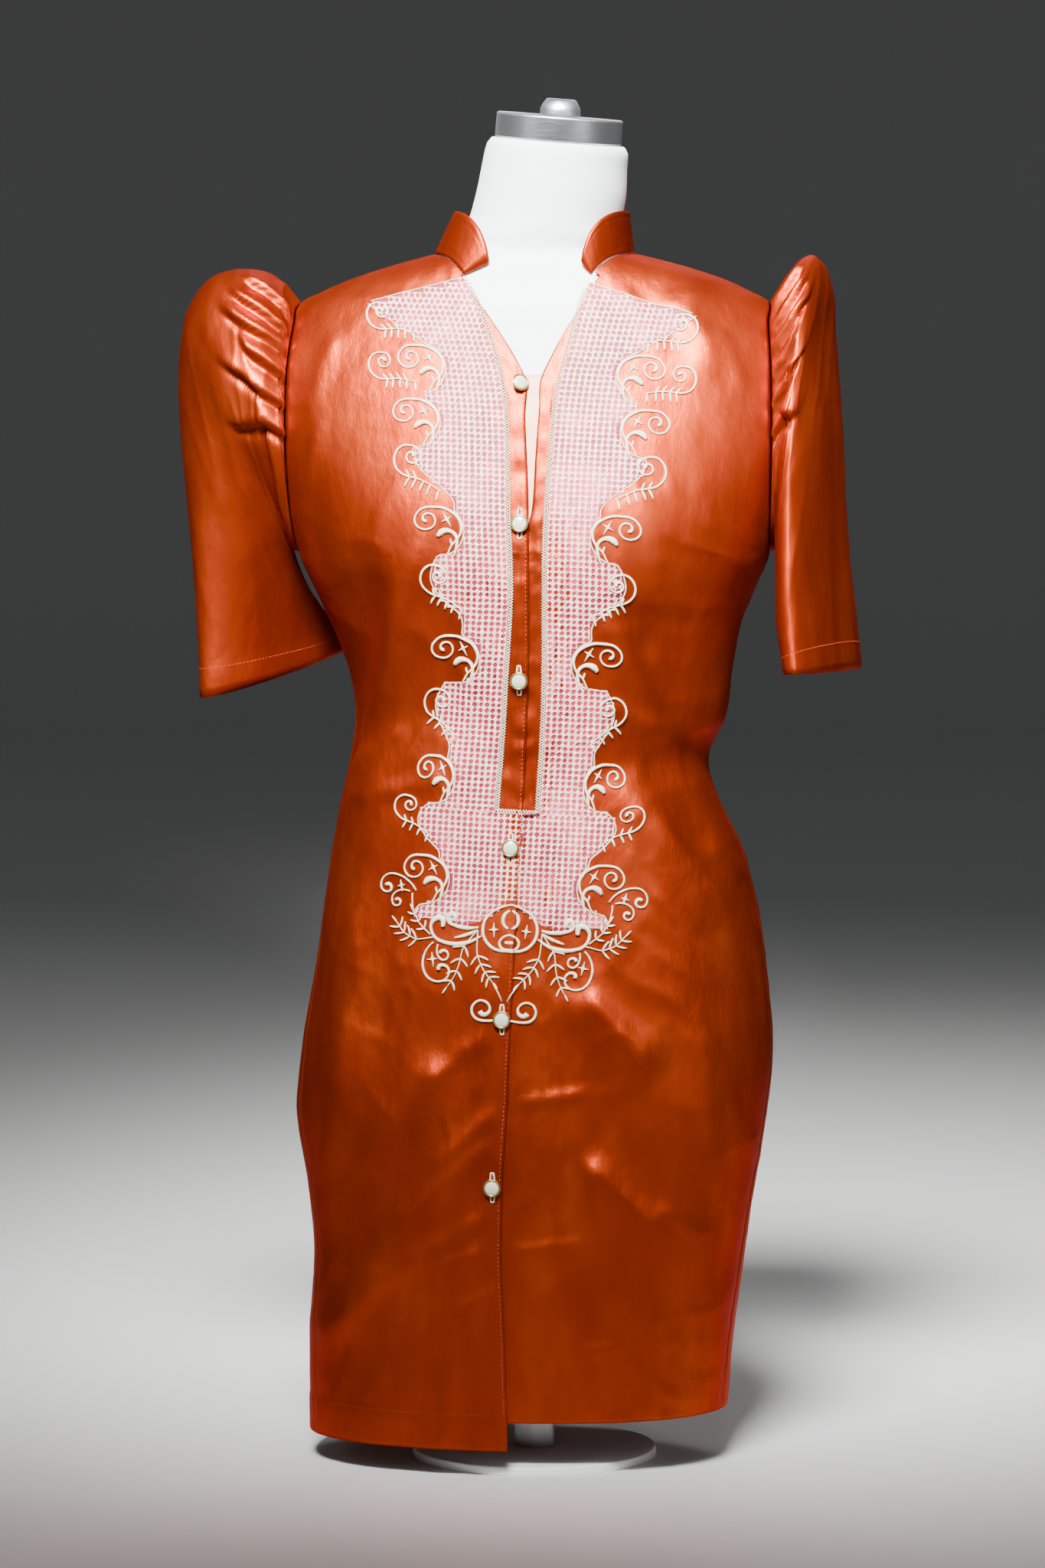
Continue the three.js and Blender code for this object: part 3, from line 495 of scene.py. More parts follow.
def wall_mesh(outer, inner, is_ring=False):
    """The points and faces of one closed wall between two grids."""
    rows, columns = outer.shape[:2]
    count = rows * columns
    points = np.concatenate([outer.reshape(-1, 3), inner.reshape(-1, 3)])
    faces = [grid_faces(rows, columns, is_ring), grid_faces(rows, columns, is_ring, count)[:, ::-1]]
    row = np.arange(columns if is_ring else columns - 1)
    after = (row + 1) % columns
    top = (rows - 1) * columns
    faces.append(np.stack([after, row, row + count, after + count], -1))
    faces.append(np.stack([row + top, after + top, after + top + count, row + top + count], -1))
    if not is_ring:
        up = np.arange(rows - 1) * columns
        end = up + columns - 1
        faces.append(np.stack([up, up + columns, up + columns + count, up + count], -1))
        faces.append(np.stack([end + columns, end, end + count, end + columns + count], -1))
    return points, np.concatenate(faces)


# Materials
def new_material(name, color, roughness, **inputs):
    material = bpy.data.materials.new(name)
    material.use_nodes = True
    shader = material.node_tree.nodes["Principled BSDF"]
    shader.inputs["Base Color"].default_value = (*color, 1)
    shader.inputs["Roughness"].default_value = roughness
    for key, value in inputs.items():
        shader.inputs[key.replace("_", " ").title().replace("Ior", "IOR")].default_value = value
    return material


def add_node(material, kind, **values):
    node = material.node_tree.nodes.new(kind)
    for key, value in values.items():
        if key in node.inputs:
            node.inputs[key].default_value = value
        else:
            setattr(node, key, value)
    return node


def connect(material, start, end):
    material.node_tree.links.new(start, end)


def object_space(material, scale):
    place = add_node(material, "ShaderNodeTexCoord")
    mapping = add_node(material, "ShaderNodeMapping")
    mapping.inputs["Scale"].default_value = scale
    connect(material, place.outputs["Object"], mapping.inputs["Vector"])
    return mapping.outputs["Vector"]


def color_by_noise(material, scale, detail, stops):
    """Base colour from a soft noise over the object."""
    texture = add_node(material, "ShaderNodeTexNoise", Scale=1.0, Detail=detail)
    connect(material, object_space(material, scale), texture.inputs["Vector"])
    ramp = add_node(material, "ShaderNodeValToRGB")
    while len(ramp.color_ramp.elements) < len(stops):
        ramp.color_ramp.elements.new(0.5)
    for element, (position, color) in zip(ramp.color_ramp.elements, stops):
        element.position = position
        element.color = (*color, 1)
    connect(material, texture.outputs["Fac"], ramp.inputs["Fac"])
    shader = material.node_tree.nodes["Principled BSDF"]
    connect(material, ramp.outputs["Color"], shader.inputs["Base Color"])


def bump_by_noise(material, scale, strength, depth, detail=2.0):
    texture = add_node(material, "ShaderNodeTexNoise", Scale=1.0, Detail=detail)
    connect(material, object_space(material, scale), texture.inputs["Vector"])
    bump = add_node(material, "ShaderNodeBump", Strength=strength, Distance=depth)
    connect(material, texture.outputs["Fac"], bump.inputs["Height"])
    normal = material.node_tree.nodes["Principled BSDF"].inputs["Normal"]
    if normal.links:
        connect(material, normal.links[0].from_socket, bump.inputs["Normal"])
    connect(material, bump.outputs["Normal"], normal)


def satin_material():
    material = new_material(
        "satin", (0.34, 0.034, 0.007), 0.42,
        metallic=0.85, specular_ior_level=0.3, specular_tint=(0.5, 0.13, 0.05, 1),
    )
    color_by_noise(material, (22, 22, 9), 3.0, [
        (0.30, (0.28, 0.026, 0.006)),
        (0.55, (0.35, 0.036, 0.008)),
        (0.75, (0.44, 0.055, 0.012)),
    ])
    bump_by_noise(material, (60, 60, 34), 0.32, 0.004, 5.0)
    bump_by_noise(material, (900, 900, 160), 0.25, 0.0004)
    return material


satin = satin_material()
underlap_cloth = new_material("underlap cloth", (0.86, 0.42, 0.27), 0.5, sheen_weight=0.3)
pearl = new_material("pearl", (0.56, 0.58, 0.44), 0.25, coat_weight=0.5, coat_roughness=0.1)
gold = new_material("pale gold", (0.42, 0.30, 0.10), 0.3, metallic=0.9)
cream_thread = new_material("cream thread", (0.72, 0.64, 0.46), 0.55)
bump_by_noise(cream_thread, (2600, 2600, 2600), 0.5, 0.0003)
net_thread = new_material("net thread", (0.9, 0.66, 0.62), 0.6)
color_by_noise(net_thread, (420, 420, 420), 2.0, [
    (0.38, (0.70, 0.27, 0.27)), (0.52, (0.77, 0.44, 0.40)), (0.64, (0.81, 0.63, 0.53)),
])
bump_by_noise(net_thread, (2200, 2200, 2200), 0.5, 0.0003)
orange_thread = new_material("orange thread", (0.36, 0.03, 0.006), 0.5)
# Dark colour of the buttonhole slits: painted shade in the gap of each cut
slit_painted_shade = new_material("slit", (0.22, 0.02, 0.008), 0.7)


def net_ground_shade_material():
    material = new_material("net ground with painted shade", (0.5, 0.09, 0.09), 0.6)
    # The noise mixes deep rose (painted shade in the holes) with lighter rose (painted light) at random
    # places. The rose itself is the layer seen through the net.
    color_by_noise(material, (30, 30, 22), 2.0, [
        (0.38, (0.18, 0.005, 0.018)),
        (0.54, (0.30, 0.014, 0.034)),
        (0.68, (0.50, 0.06, 0.085)),
    ])
    return material


def jersey_material():
    material = new_material("jersey", (0.80, 0.86, 0.86), 0.85, sheen_weight=0.25)
    bump_by_noise(material, (1500, 1500, 2200), 0.35, 0.0004)
    return material


net_ground = net_ground_shade_material()
jersey = jersey_material()
aluminium = new_material("brushed aluminium", (0.60, 0.62, 0.63), 0.33, metallic=1.0, anisotropic=0.6)
bump_by_noise(aluminium, (60, 60, 3200), 0.3, 0.0003)
steel = new_material("pole steel", (0.5, 0.51, 0.52), 0.35, metallic=1.0)
paint = new_material("pale paint", (0.8, 0.8, 0.79), 0.5)
floor_paper = new_material("floor", (0.66, 0.66, 0.65), 0.9)


# The dress
PANEL_COLUMNS = 66
BACK_COLUMNS = 108
SKIRT_ROWS = 200
CHEST_ROWS = 62
SHOULDER_ROWS = 22
SLEEVE_RINGS = 110
SLEEVE_SIDES = 190
COLLAR_COLUMNS = 150
COLLAR_ROWS = 26

LEVELS = np.concatenate([
    np.linspace(0, UNDERARM_Z, SKIRT_ROWS),
    ARMHOLE_MIDDLE - ARMHOLE_HALF * np.cos(np.linspace(0, np.pi, CHEST_ROWS)[1:]),
    np.linspace(SHOULDER_Z, NECK_Z - 0.6, SHOULDER_ROWS)[1:],
])


def row_height(level, hem):
    """The rows below the underarm are spread evenly down to the hem."""
    return np.where(level < UNDERARM_Z, mix(hem, UNDERARM_Z, level / UNDERARM_Z), level)


def edge_roll(from_edge):
    """Cloth turns in a little where it meets a seam."""
    return -0.5 * (1 - smooth(from_edge / 2.2))


def hem_lift(above, depth):
    """The turned hem is thicker, with a shallow groove along its stitches."""
    band = 0.7 * (1 - smooth((above - depth + 2) / 4))
    groove = -0.5 * np.exp(-(((above - depth + 2) / 1.6) ** 2))
    return band + groove


def panel(name, angle, height, hem, lift):
    """A wall of the dress over a grid of angles and heights, thicker at its turned hem."""
    lift = lift + hem_lift(height - hem, HEM_DEPTH)
    wall = np.where(height - hem < HEM_DEPTH, HEM_WALL, WALL) - THINNER
    outer = skin(angle, height, lift)
    inner = skin(angle, height, lift - wall)
    obj = mesh_object(name, *wall_mesh(outer, inner), satin, "satin")
    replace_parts(obj, name)
    return obj


def front_panel(name, side, edge, hem, lapping):
    """One front, from its folded edge or the neckline round to the side seam."""
    sign = SIGN[side]
    z = row_height(LEVELS, hem)
    out = sign * outer_angle(z, side, ARMHOLE_FRONT, False)
    start = np.where(z > V_TOP_Z, sign * neckline_angle(z), angle_at_x(read(edge, "x", z), z))
    end = (out - sign * SEAM / 2 / shell_radius(out, z))[:, None]
    angle = mix(start[:, None], end, np.linspace(0, 1, PANEL_COLUMNS))
    height = np.broadcast_to(z[:, None], angle.shape)
    x = shell(angle, height)[..., 0]
    from_edge = np.abs(x - x[:, :1])
    fold = 0.45 * (1 - smooth((from_edge - 10) / 3)) * smooth((V_BOTTOM_Z - height) / 20)
    lift = edge_roll(np.abs(angle - end) * PANEL_REACH) + fold
    if lapping:
        lift = lift + lap_lift(x, height)
    return panel(name, angle, height, hem, lift)


def back_panel():
    left_z, right_z = row_height(LEVELS, LEFT_HEM_Z), row_height(LEVELS, RIGHT_HEM_Z)
    left = outer_angle(left_z, "left", ARMHOLE_BACK, True)
    right = 2 * np.pi - outer_angle(right_z, "right", ARMHOLE_BACK, True)
    trim = SEAM / 2 / shell_radius(left, left_z)
    share = np.linspace(0, 1, BACK_COLUMNS)[None, :]
    hem = mix(LEFT_HEM_Z, RIGHT_HEM_Z, smooth(share))
    height = row_height(LEVELS[:, None], hem)
    angle = mix((left + trim)[:, None], (right - trim)[:, None], share)
    from_seam = np.minimum(share, 1 - share) * (right - left)[:, None] * PANEL_REACH
    return panel("back", angle, height, hem, edge_roll(from_seam))


def underlap():
    """The strip that shows in the opening, from -9 to 25 mm across, behind both fronts."""
    z = np.linspace(690, V_BOTTOM_Z, 40)[:, None]
    angle = mix(angle_at_x(-9, z), angle_at_x(25, z), np.linspace(0, 1, 14))
    behind = -(WALL + SEAM + 0.1)
    height = np.broadcast_to(z, angle.shape)
    outer = skin(angle, height, behind)
    inner = skin(angle, height, behind - 0.9)
    obj = mesh_object("underlap", *wall_mesh(outer, inner), underlap_cloth, "underlap")
    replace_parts(obj, "underlap")


# Sleeves
def armhole_point(side, turn):
    z = ARMHOLE_MIDDLE - ARMHOLE_HALF * np.cos(turn)
    reach = np.where(np.sin(turn) > 0, -ARMHOLE_FRONT, ARMHOLE_BACK)
    x = SIGN[side] * (read(BODY, side, z) + SEAM + 0.4)
    return np.stack([x, reach * np.abs(np.sin(turn)), z], -1)


def sleeve_base(rows, side, share, turn):
    """The smooth sleeve, by the share of its length and the turn from its underside to the front."""
    count = len(rows["turn"])
    place = share * count
    placed = dict(rows, place=np.arange(1, count + 1, dtype=float))
    value = {c: read(placed, c, np.maximum(place, 1), "place") for c in SLEEVE_COLUMNS.split()}
    top = np.stack([value["top_x"], value["top_y"], value["top_z"]], -1)
    under = np.stack([value["under_x"], value["under_y"], value["under_z"]], -1)
    bearing = np.radians(value["turn"])
    front = np.stack([np.sin(bearing), -np.cos(bearing), 0 * bearing], -1) * value["depth"][..., None]
    point = (top + under) / 2 - (top - under) / 2 * np.cos(turn)[..., None]
    point = point + front * np.sin(turn)[..., None]
    near = np.clip(1 - place, 0, 1)[..., None]
    return mix(point, armhole_point(side, turn), near)


def sleeve_normal(rows, side, share, turn):
    step, move = 0.02, 0.01
    across = sleeve_base(rows, side, share, turn + step) - sleeve_base(rows, side, share, turn - step)
    ahead = sleeve_base(rows, side, np.minimum(share + move, 1), turn)
    behind = sleeve_base(rows, side, np.maximum(share - move, 0), turn)
    normal = np.cross(across, ahead - behind) * -SIGN[side]
    normal[..., 0] = np.where(share == 0, 0, normal[..., 0])
    return unit(normal)


def pleat_height(share, turn):
    """Knife pleats: above each fold line the cloth stands out sharply, and falls to the next one."""
    degrees = np.degrees(turn) % 360
    place = np.minimum(degrees, 360 - degrees)
    total, line = np.zeros(place.shape), np.zeros(place.shape)
    for start, end, reach, bend in zip(*PLEATS.values()):
        along = np.minimum(share / reach, 1)
        line = np.maximum(mix(start, end, along**bend), line + PLEAT_GAP)
        fade = smooth((share - 0.01) / 0.05) * smooth((reach - share) / (0.18 * reach))
        away = (place - line) / mix(0.8, 1.6, along)
        valley = -PLEAT_VALLEY * np.exp(-(((away + 1.8) / 2.2) ** 2))
        crest = PLEAT_CREST * smooth((away + 1.4) / 3.4) * np.exp(-np.maximum(away - 2, 0) / 5)
        total += fade * (valley + crest)
    return total


def sleeve_point(rows, side, share, turn, sink=0.0):
    share, turn = np.broadcast_arrays(np.asarray(share, float), np.asarray(turn, float))
    base = sleeve_base(rows, side, share, turn)
    above = (1 - share) * SLEEVE_LENGTH
    seed = 31 if side == "right" else 51
    u, v = turn * 52, share * 330  # about millimetres round and along
    ripple = 1.3 * crease(u / 40, v / 120, seed) + 0.7 * crease((u + v / 2) / 22, v / 60, seed + 1)
    ripple = ripple + 0.1 * noise(u / 9, v / 9, seed + 2)
    quiet = smooth(share / 0.12) * mix(0.5, 1, smooth(above / 40))
    height = pleat_height(share, turn) + ripple * quiet + hem_lift(above, CUFF_DEPTH) - sink
    return base + sleeve_normal(rows, side, share, turn) * height[..., None]


def sleeve(side, rows):
    share = np.linspace(0, 1, SLEEVE_RINGS)
    share = mix(share, share * share, 0.35)[:, None]  # closer rings at the sleeve's head
    turn = np.linspace(0, 2 * np.pi, SLEEVE_SIDES, endpoint=False)[None, :]
    wall = np.where((1 - share) * SLEEVE_LENGTH < CUFF_DEPTH, HEM_WALL, WALL) - THINNER
    outer = sleeve_point(rows, side, share, turn)
    inner = sleeve_point(rows, side, share, turn, wall)
    if side == "left":
        outer, inner = outer[:, ::-1], inner[:, ::-1]
    points, faces = wall_mesh(outer, inner, True)
    obj = mesh_object(f"sleeve_{side}", points, faces[:, ::-1], satin, "satin")
    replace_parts(obj, f"sleeve_{side}")


# The stand collar
def collar_point(share, up, sink):
    """A place on the band, by the share of its way round from the left end and up from its foot."""
    foot_end = neckline_angle(np.array(V_TOP_Z))
    end = foot_end - np.radians(7) * up
    turn = mix(end, 2 * np.pi - end, share)
    is_front = np.cos(turn) >= 0
    seam_angle = np.where(turn > np.pi, 2 * np.pi - turn, turn)
    foot = np.where(is_front, neckline_height(np.minimum(seam_angle, np.pi / 2)), NECK_Z)
    back_share = np.where(is_front, 0, np.abs(np.cos(turn)))
    foot_radius = mix(NECK_RADIUS, 67, back_share * back_share) - 1
    from_end = np.minimum(share, 1 - share) * COLLAR_LENGTH
    corner = np.clip(1 - from_end / 13, 0, 1)
    tall = COLLAR_HEIGHT * (1 - (1 - np.sqrt(1 - corner**2)) * 0.4)
    radius = mix(foot_radius, foot_radius - mix(10, 4, back_share), up) - sink
    shift = mix(0, 6, up)
    z = foot + SEAM + 0.2 + tall * up
    return np.stack([shift + radius * np.sin(turn), -radius * np.cos(turn) - shift / 2, z], -1)


def collar():
    share = np.linspace(0, 1, COLLAR_COLUMNS)
    share = share - 0.35 * np.sin(2 * np.pi * share) / (2 * np.pi)  # closer columns at both ends
    share, up = np.meshgrid(share, np.linspace(0, 1, COLLAR_ROWS))
    from_end = np.minimum(share, 1 - share) * COLLAR_LENGTH
    rim = np.minimum.reduce([up * COLLAR_HEIGHT, (1 - up) * COLLAR_HEIGHT, from_end])
    bulge = 0.7 * smooth(rim / 2.5) - 0.35 * np.exp(-(((rim - 4.5) / 0.9) ** 2))
    outer = collar_point(share, up, 0.5 - bulge)
    inner = collar_point(share, up, COLLAR_WALL - 0.4 + 0.3 * bulge)
    obj = mesh_object("collar", *wall_mesh(outer, inner), satin, "satin")
    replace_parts(obj, "collar")


front_right = front_panel("front_right", "right", RIGHT_EDGE, RIGHT_HEM_Z, True)
front_left = front_panel("front_left", "left", LEFT_EDGE, LEFT_HEM_Z, False)
back = back_panel()
underlap()
sleeve("right", RIGHT_SLEEVE)
sleeve("left", LEFT_SLEEVE)
collar()


# Thread
class Thread:
    """Gathers tubes of thread, and makes one mesh of them."""

    def __init__(self, sides):
        self.sides = sides
        self.strokes = []
        self.laid = []

    def add(self, points, normals, width, height, closed=False):
        """One tube along points, as wide and high as said at each of them."""
        self.strokes.append((points, normals, width, height, closed))

    def lay(self, x, z, width, height, lift, closed=False):
        """One tube on the front of the dress, along x and z."""
        x, z, lift = np.broadcast_arrays(x, z, np.asarray(lift, float))
        self.laid.append((x, z, lift, width, height, closed))

    def place_laid(self):
        """Finds the places of all laid tubes in one go, which is far quicker than one by one."""
        if not self.laid:
            return
        x, z, lift = (np.concatenate([row[i] for row in self.laid]) for i in range(3))
        points, normals = on_front(x, z, lift)
        start = 0
        for row in self.laid:
            end = start + len(row[0])
            self.add(points[start:end], normals[start:end], *row[3:])
            start = end

    def build(self, name, material):
        self.place_laid()
        sides, count, points, faces = self.sides, 0, [], []
        for line, normals, width, height, closed in self.strokes:
            number = len(line)
            width = np.broadcast_to(width, (number,))[:, None, None]
            height = np.broadcast_to(height, (number,))[:, None, None]
            tangent = np.roll(line, -1, 0) - np.roll(line, 1, 0) if closed else np.gradient(line, axis=0)
            side = unit(np.cross(normals, unit(tangent)))[:, None, :]
            turn = np.linspace(0, 2 * np.pi, sides, endpoint=False)[None, :, None]
            ring = side * np.cos(turn) * width / 2 + normals[:, None, :] * np.sin(turn) * height / 2
            points.append((line[:, None, :] + ring).reshape(-1, 3))
            tube = grid_faces(number + closed, sides, True) % (number * sides)
            faces += (tube + count).tolist()
            if not closed:
                faces.append((np.arange(sides)[::-1] + count).tolist())
                faces.append((np.arange(sides) + count + (number - 1) * sides).tolist())
            count += number * sides
        mesh_object(name, np.concatenate(points), faces, material, "satin")


def resample(x, z, step):
    """Points a step apart along a line."""
    x, z = np.asarray(x, float), np.asarray(z, float)
    length = np.concatenate([[0], np.cumsum(np.hypot(np.diff(x), np.diff(z)))])
    count = max(int(length[-1] / step), 2) + 1
    at = np.linspace(0, length[-1], count)
    return np.interp(at, length, x), np.interp(at, length, z)


# The openwork. Reach is the distance from the line down the front that it mirrors about.
LOBES = table("z reach", [
    (411, 76), (420, 70), (430, 64), (458, 58), (468, 67), (480, 76), (490, 75), (500, 66),
    (540, 56), (552, 61), (564, 68), (578, 69), (594, 62), (632, 50), (645, 52), (656, 65),
    (669, 74), (681, 73), (695, 66), (729, 56), (742, 66), (754, 82), (766, 90), (778, 88),
    (788, 80), (814, 82), (824, 80), (852, 82), (862, 96), (874, 116), (884, 130),
])
POCKETS = table("reach z across", [
    (94.5, 842, 1), (98, 800, 1), (76.5, 717, 1), (63.5, 618.5, 1), (72, 524, 0.8), (76.5, 446, 0.95),
])
CURLS = table("reach z size turn teeth upper", [
    (117.5, 877, 0.88, -20, 5, 3), (116, 838, 0.88, -20, 5, 4), (91, 765, 1, -2, 5, 2),
    (68.5, 674, 0.92, 4, 5, 2), (65, 577, 0.9, 16, 4, 2), (84, 494, 0.8, 2, 4, 2),
])
POCKET_RADIUS, POCKET_OUT, POCKET_DOWN = 18.5, 8.5, 8
TILT = 0.05  # the wearer's right side sits a little higher
NET_LOW, NET_STRIP_LOW, NET_HIGH = 411, 494, 908
NET_TOP_SLOPE = 0.29
CELL_X, CELL_Z = 4.7, 4.5
HOLE_X, HOLE_Z = 1.98, 2.0


def centre_x(z):
    return read(CENTRE, "x", z)


def from_centre(sign, reach, z):
    """The x and height of a place at a distance from the centre line, on one side."""
    return centre_x(z) + sign * reach, z - sign * TILT * reach


def net_inner(z):
    """The openwork stops at the plain strips, and meets in the middle below them."""
    return np.where(z > NET_STRIP_LOW, read(CENTRE, "half", z) + 2, 0)


def net_outer(z):
    reach = np.where(z > 884, 47 + (NET_HIGH - z) / NET_TOP_SLOPE, read(LOBES, "reach", z))
    for out, height, across in zip(*POCKETS.values()):
        rise = (z - (height - POCKET_DOWN)) / (POCKET_RADIUS + 1)
        half = (POCKET_RADIUS + 1.2) * across * np.sqrt(np.clip(1 - rise * rise, 0, 1))
        pocket = np.where(np.abs(rise) < 1, (out - POCKET_OUT * across) - half, 1e3)
        reach = np.minimum(reach, pocket)
    return reach


def net_bottom(reach):
    """The openwork arches over the medallion in the middle."""
    return NET_LOW - 4 + 16 * np.exp(-((reach / 17) ** 2)) - 4 * np.exp(-(((reach - 38) / 14) ** 2))


def net_ground_piece(sign):
    z = np.linspace(NET_LOW - 7, NET_HIGH - 1, 230)[:, None]
    share = np.linspace(0, 1, 34)[None, :]
    reach = mix(net_inner(z), net_outer(z) - 0.8, share)
    z = np.maximum(np.broadcast_to(z, reach.shape), net_bottom(reach))
    x, z = from_centre(sign, reach, z)
    points, _ = on_front(x, z, 0.2)
    below, _ = on_front(x, z, -0.15)
    if sign < 0:
        points, below = points[:, ::-1], below[:, ::-1]
    return wall_mesh(points, below)


def net_cells():
    """The middle of each hole, in rows and columns."""
    out, up = np.meshgrid(
        (np.arange(0, 30) + 0.5) * CELL_X, NET_LOW - 8 + (np.arange(0, 115) + 0.5) * CELL_Z, indexing="ij"
    )
    out = out + np.where(up > NET_STRIP_LOW, read(CENTRE, "half", up) % CELL_X + 2, 0)
    keep = (
        (out - CELL_X / 2 > net_inner(up) - 0.3)
        & (out + CELL_X / 3 < net_outer(up))
        & (up > net_bottom(out) + 1)
        & (up < NET_HIGH - np.maximum(out - 47, 0) * NET_TOP_SLOPE - 2)
    )
    return out[keep], up[keep]


def net_piece(sign):
    """A sheet of thread with a pointed hole in each cell, high at the knots between the holes."""
    out, up = net_cells()
    turn = np.radians(np.arange(8) * 45)
    is_corner = np.arange(8) % 2 == 1
    cell_out = np.sign(np.round(np.cos(turn), 3)) * CELL_X / 2
    cell_up = np.sign(np.round(np.sin(turn), 3)) * CELL_Z / 2
    point_out, point_up = np.where(is_corner, 0.8, 1) * (np.cos(turn), np.sin(turn))
    i, k = np.round(out / CELL_X).astype(int)[:, None], np.round(up / CELL_Z).astype(int)[:, None]
    hole_out = point_out * HOLE_X * (1 + 0.16 * lattice(i, k, 3))
    lean = sign * (0.28 + 0.24 * lattice(i, k, 5))
    hole_up = point_up * HOLE_Z * (1 + 0.14 * lattice(i, k, 4)) + point_out * lean
    rings = [
        (cell_out, cell_up, np.where(is_corner, 0.95, 0.5)),
        (mix(cell_out, hole_out, 0.6), mix(cell_up, hole_up, 0.6), 0.85),
        (hole_out, hole_up, 0.55),
        (hole_out, hole_up, 0.0),
    ]
    points = []
    for ring_out, ring_up, lift in rings:
        x, z = from_centre(sign, out[:, None] + ring_out, up[:, None] + ring_up)
        place, _ = on_front(x, z, np.broadcast_to(lift, x.shape))
        points.append(place)
    points = np.stack(points, 1)
    cells, ring_count = len(out), len(rings)
    ring, corner = np.meshgrid(np.arange(ring_count - 1), np.arange(8), indexing="ij")
    here, after = ring * 8 + corner, ring * 8 + (corner + 1) % 8
    faces = np.stack([here, after, after + 8, here + 8], -1).reshape(1, -1, 4)
    faces = faces + (np.arange(cells) * 8 * ring_count)[:, None, None]
    if sign < 0:
        faces = faces[..., ::-1]
    return points.reshape(-1, 3), faces.reshape(-1, 4)


def openwork():
    for sign, side in ((-1, "right"), (1, "left")):
        mesh_object(f"net_ground_{side}", *net_ground_piece(sign), net_ground, "satin")
        mesh_object(f"net_{side}", *net_piece(sign), net_thread, "satin")


# Embroidery: strokes in reach and height, with a width at each point
def arcs(out, up, heading, turns, step=1.3):
    """A line of joined arcs from a place and a heading. Each arc is (length, degrees)."""
    points = [(out, up)]
    heading = np.radians(heading)
    for length, degrees in turns:
        count = max(int(length / step), 3)
        for _ in range(count):
            heading += np.radians(degrees) / count / 2
            out += length / count * np.cos(heading)
            up += length / count * np.sin(heading)
            heading += np.radians(degrees) / count / 2
            points.append((out, up))
    return np.array(points)


def widths(number, *stops):
    """A width at each point, through evenly spaced stops."""
    return np.interp(np.linspace(0, 1, number), np.linspace(0, 1, len(stops)), stops)


def scroll(out, up, heading, turns, *stops):
    """A stroke of joined arcs, with its width at evenly spaced stops."""
    line = arcs(out, up, heading, turns)
    return line, widths(len(line), *stops)


def leaf(out, up, heading, length, width, bend):
    line = arcs(out, up, heading - bend / 2, [(length, bend)], 1.0)
    share = np.linspace(0, 1, len(line))
    return line, 0.4 + (width - 0.4) * np.sin(np.pi * (0.08 + 0.84 * share)) ** 0.8


def volute(*stops):
    """A curl about (0, 0) through a few stops, each (degrees round, distance from the middle)."""
    round_, reach = np.array(stops, float).T
    place = np.arange(len(stops), dtype=float)
    rows = {"place": place, "round": round_, "reach": reach}
    fine = np.linspace(0, place[-1], 8 * len(stops))
    turn, far = np.radians(read(rows, "round", fine, "place")), read(rows, "reach", fine, "place")
    return np.stack([far * np.cos(turn), far * np.sin(turn)], -1)


def star(out, up, size, turn):
    """A star of four thin points with a thick middle."""
    strokes = []
    for k, reach in enumerate((0.9, 0.62, 1, 0.72)):
        bearing = np.radians(turn + 90 * k)
        share = np.linspace(0, 1, 6)[:, None]
        line = np.array([out, up]) + share * size * reach * np.array([np.cos(bearing), np.sin(bearing)])
        strokes.append((line, widths(6, 4.0, 2.5, 1.5, 0.9, 0.5)))
    return strokes


def bearing(step):
    return np.degrees(np.arctan2(step[1], step[0]))


def fern(stem, leaf_length, pairs, first):
    """A curved stem with leaves on both sides and one at its tip."""
    stem = np.asarray(stem, float)
    share = np.linspace(0, 1, 24)
    place = np.linspace(0, 1, len(stem))
    line = np.stack([np.interp(share, place, stem[:, k]) for k in range(2)], -1)
    for _ in range(3):
        line[1:-1] = (line[:-2] + 2 * line[1:-1] + line[2:]) / 4
    strokes = [(line, widths(24, 1.4, 1.3, 1.0))]
    for k in range(pairs):
        at = mix(first, 0.9, k / max(pairs - 1, 1)) * 23
        heading = bearing(line[min(int(at) + 1, 23)] - line[max(int(at) - 1, 0)])
        length = leaf_length * (1 - 0.12 * k / pairs)
        for way in (-1, 1):
            strokes.append(leaf(*line[int(at)], heading + way * 52, length, 2.3, -way * 24))
    strokes.append(leaf(*line[-1], bearing(line[-1] - line[-3]), 6, 2.0, 0))
    return strokes


def pocket():
    """A curl whose line sweeps over and down, with a star and a thick hook inside."""
    line = volute(
        (-430, 1), (-360, 3), (-270, 4.6), (-180, 6.2), (-90, 7.6), (-17, 9.6), (50, 9),
        (112, 10.5), (148, 16.5), (173, 23.5), (191, 27), (208, 27.4), (224, 26.5), (240, 30),
    )
    hook = [(4, 20), (8, 60), (10, 75), (12, 20)]
    return [
        (line, widths(len(line), 4.0, 2.6, 2.0, 2.0, 2.2, 2.6, 3.0, 3.0, 2.6, 2.2, 1.5)),
        *star(-15, 1, 6.5, 60),
        scroll(-8, -12.5, 120, hook, 3.5, 7.0, 5.6, 3.8, 3.6, 3.4, 3.0, 2.2, 1.3),
        leaf(-19, -18.5, 75, 5, 2.2, 20),
    ]


def lobe(teeth, upper):
    """A curl whose line runs round below it, and on as a stem with small leaves on both sides."""
    line = volute(
        (530, 1), (450, 3), (360, 4.4), (270, 5.2), (180, 6.6), (90, 8.4), (45, 11.5), (0, 14),
        (-30, 15.2), (-60, 15.6), (-90, 16.2), (-112, 19.5), (-124, 26), (-131, 35),
    )
    strokes = [(line, widths(len(line), 4.6, 2.8, 2.0, 2.0, 2.3, 2.6, 2.4, 2.2, 1.8, 1.5, 1.2))]
    first, last = len(line) - 28, len(line) - 2
    for k in range(teeth):
        spot = line[int(mix(first, last, k / (teeth - 1)))]
        strokes.append(leaf(*spot, -62 - 3 * k, 8.5, 2.7, -18))
        if k < upper:
            strokes.append(leaf(*spot, 62 + 5 * k, 6.5, 2.4, 18))
    return strokes


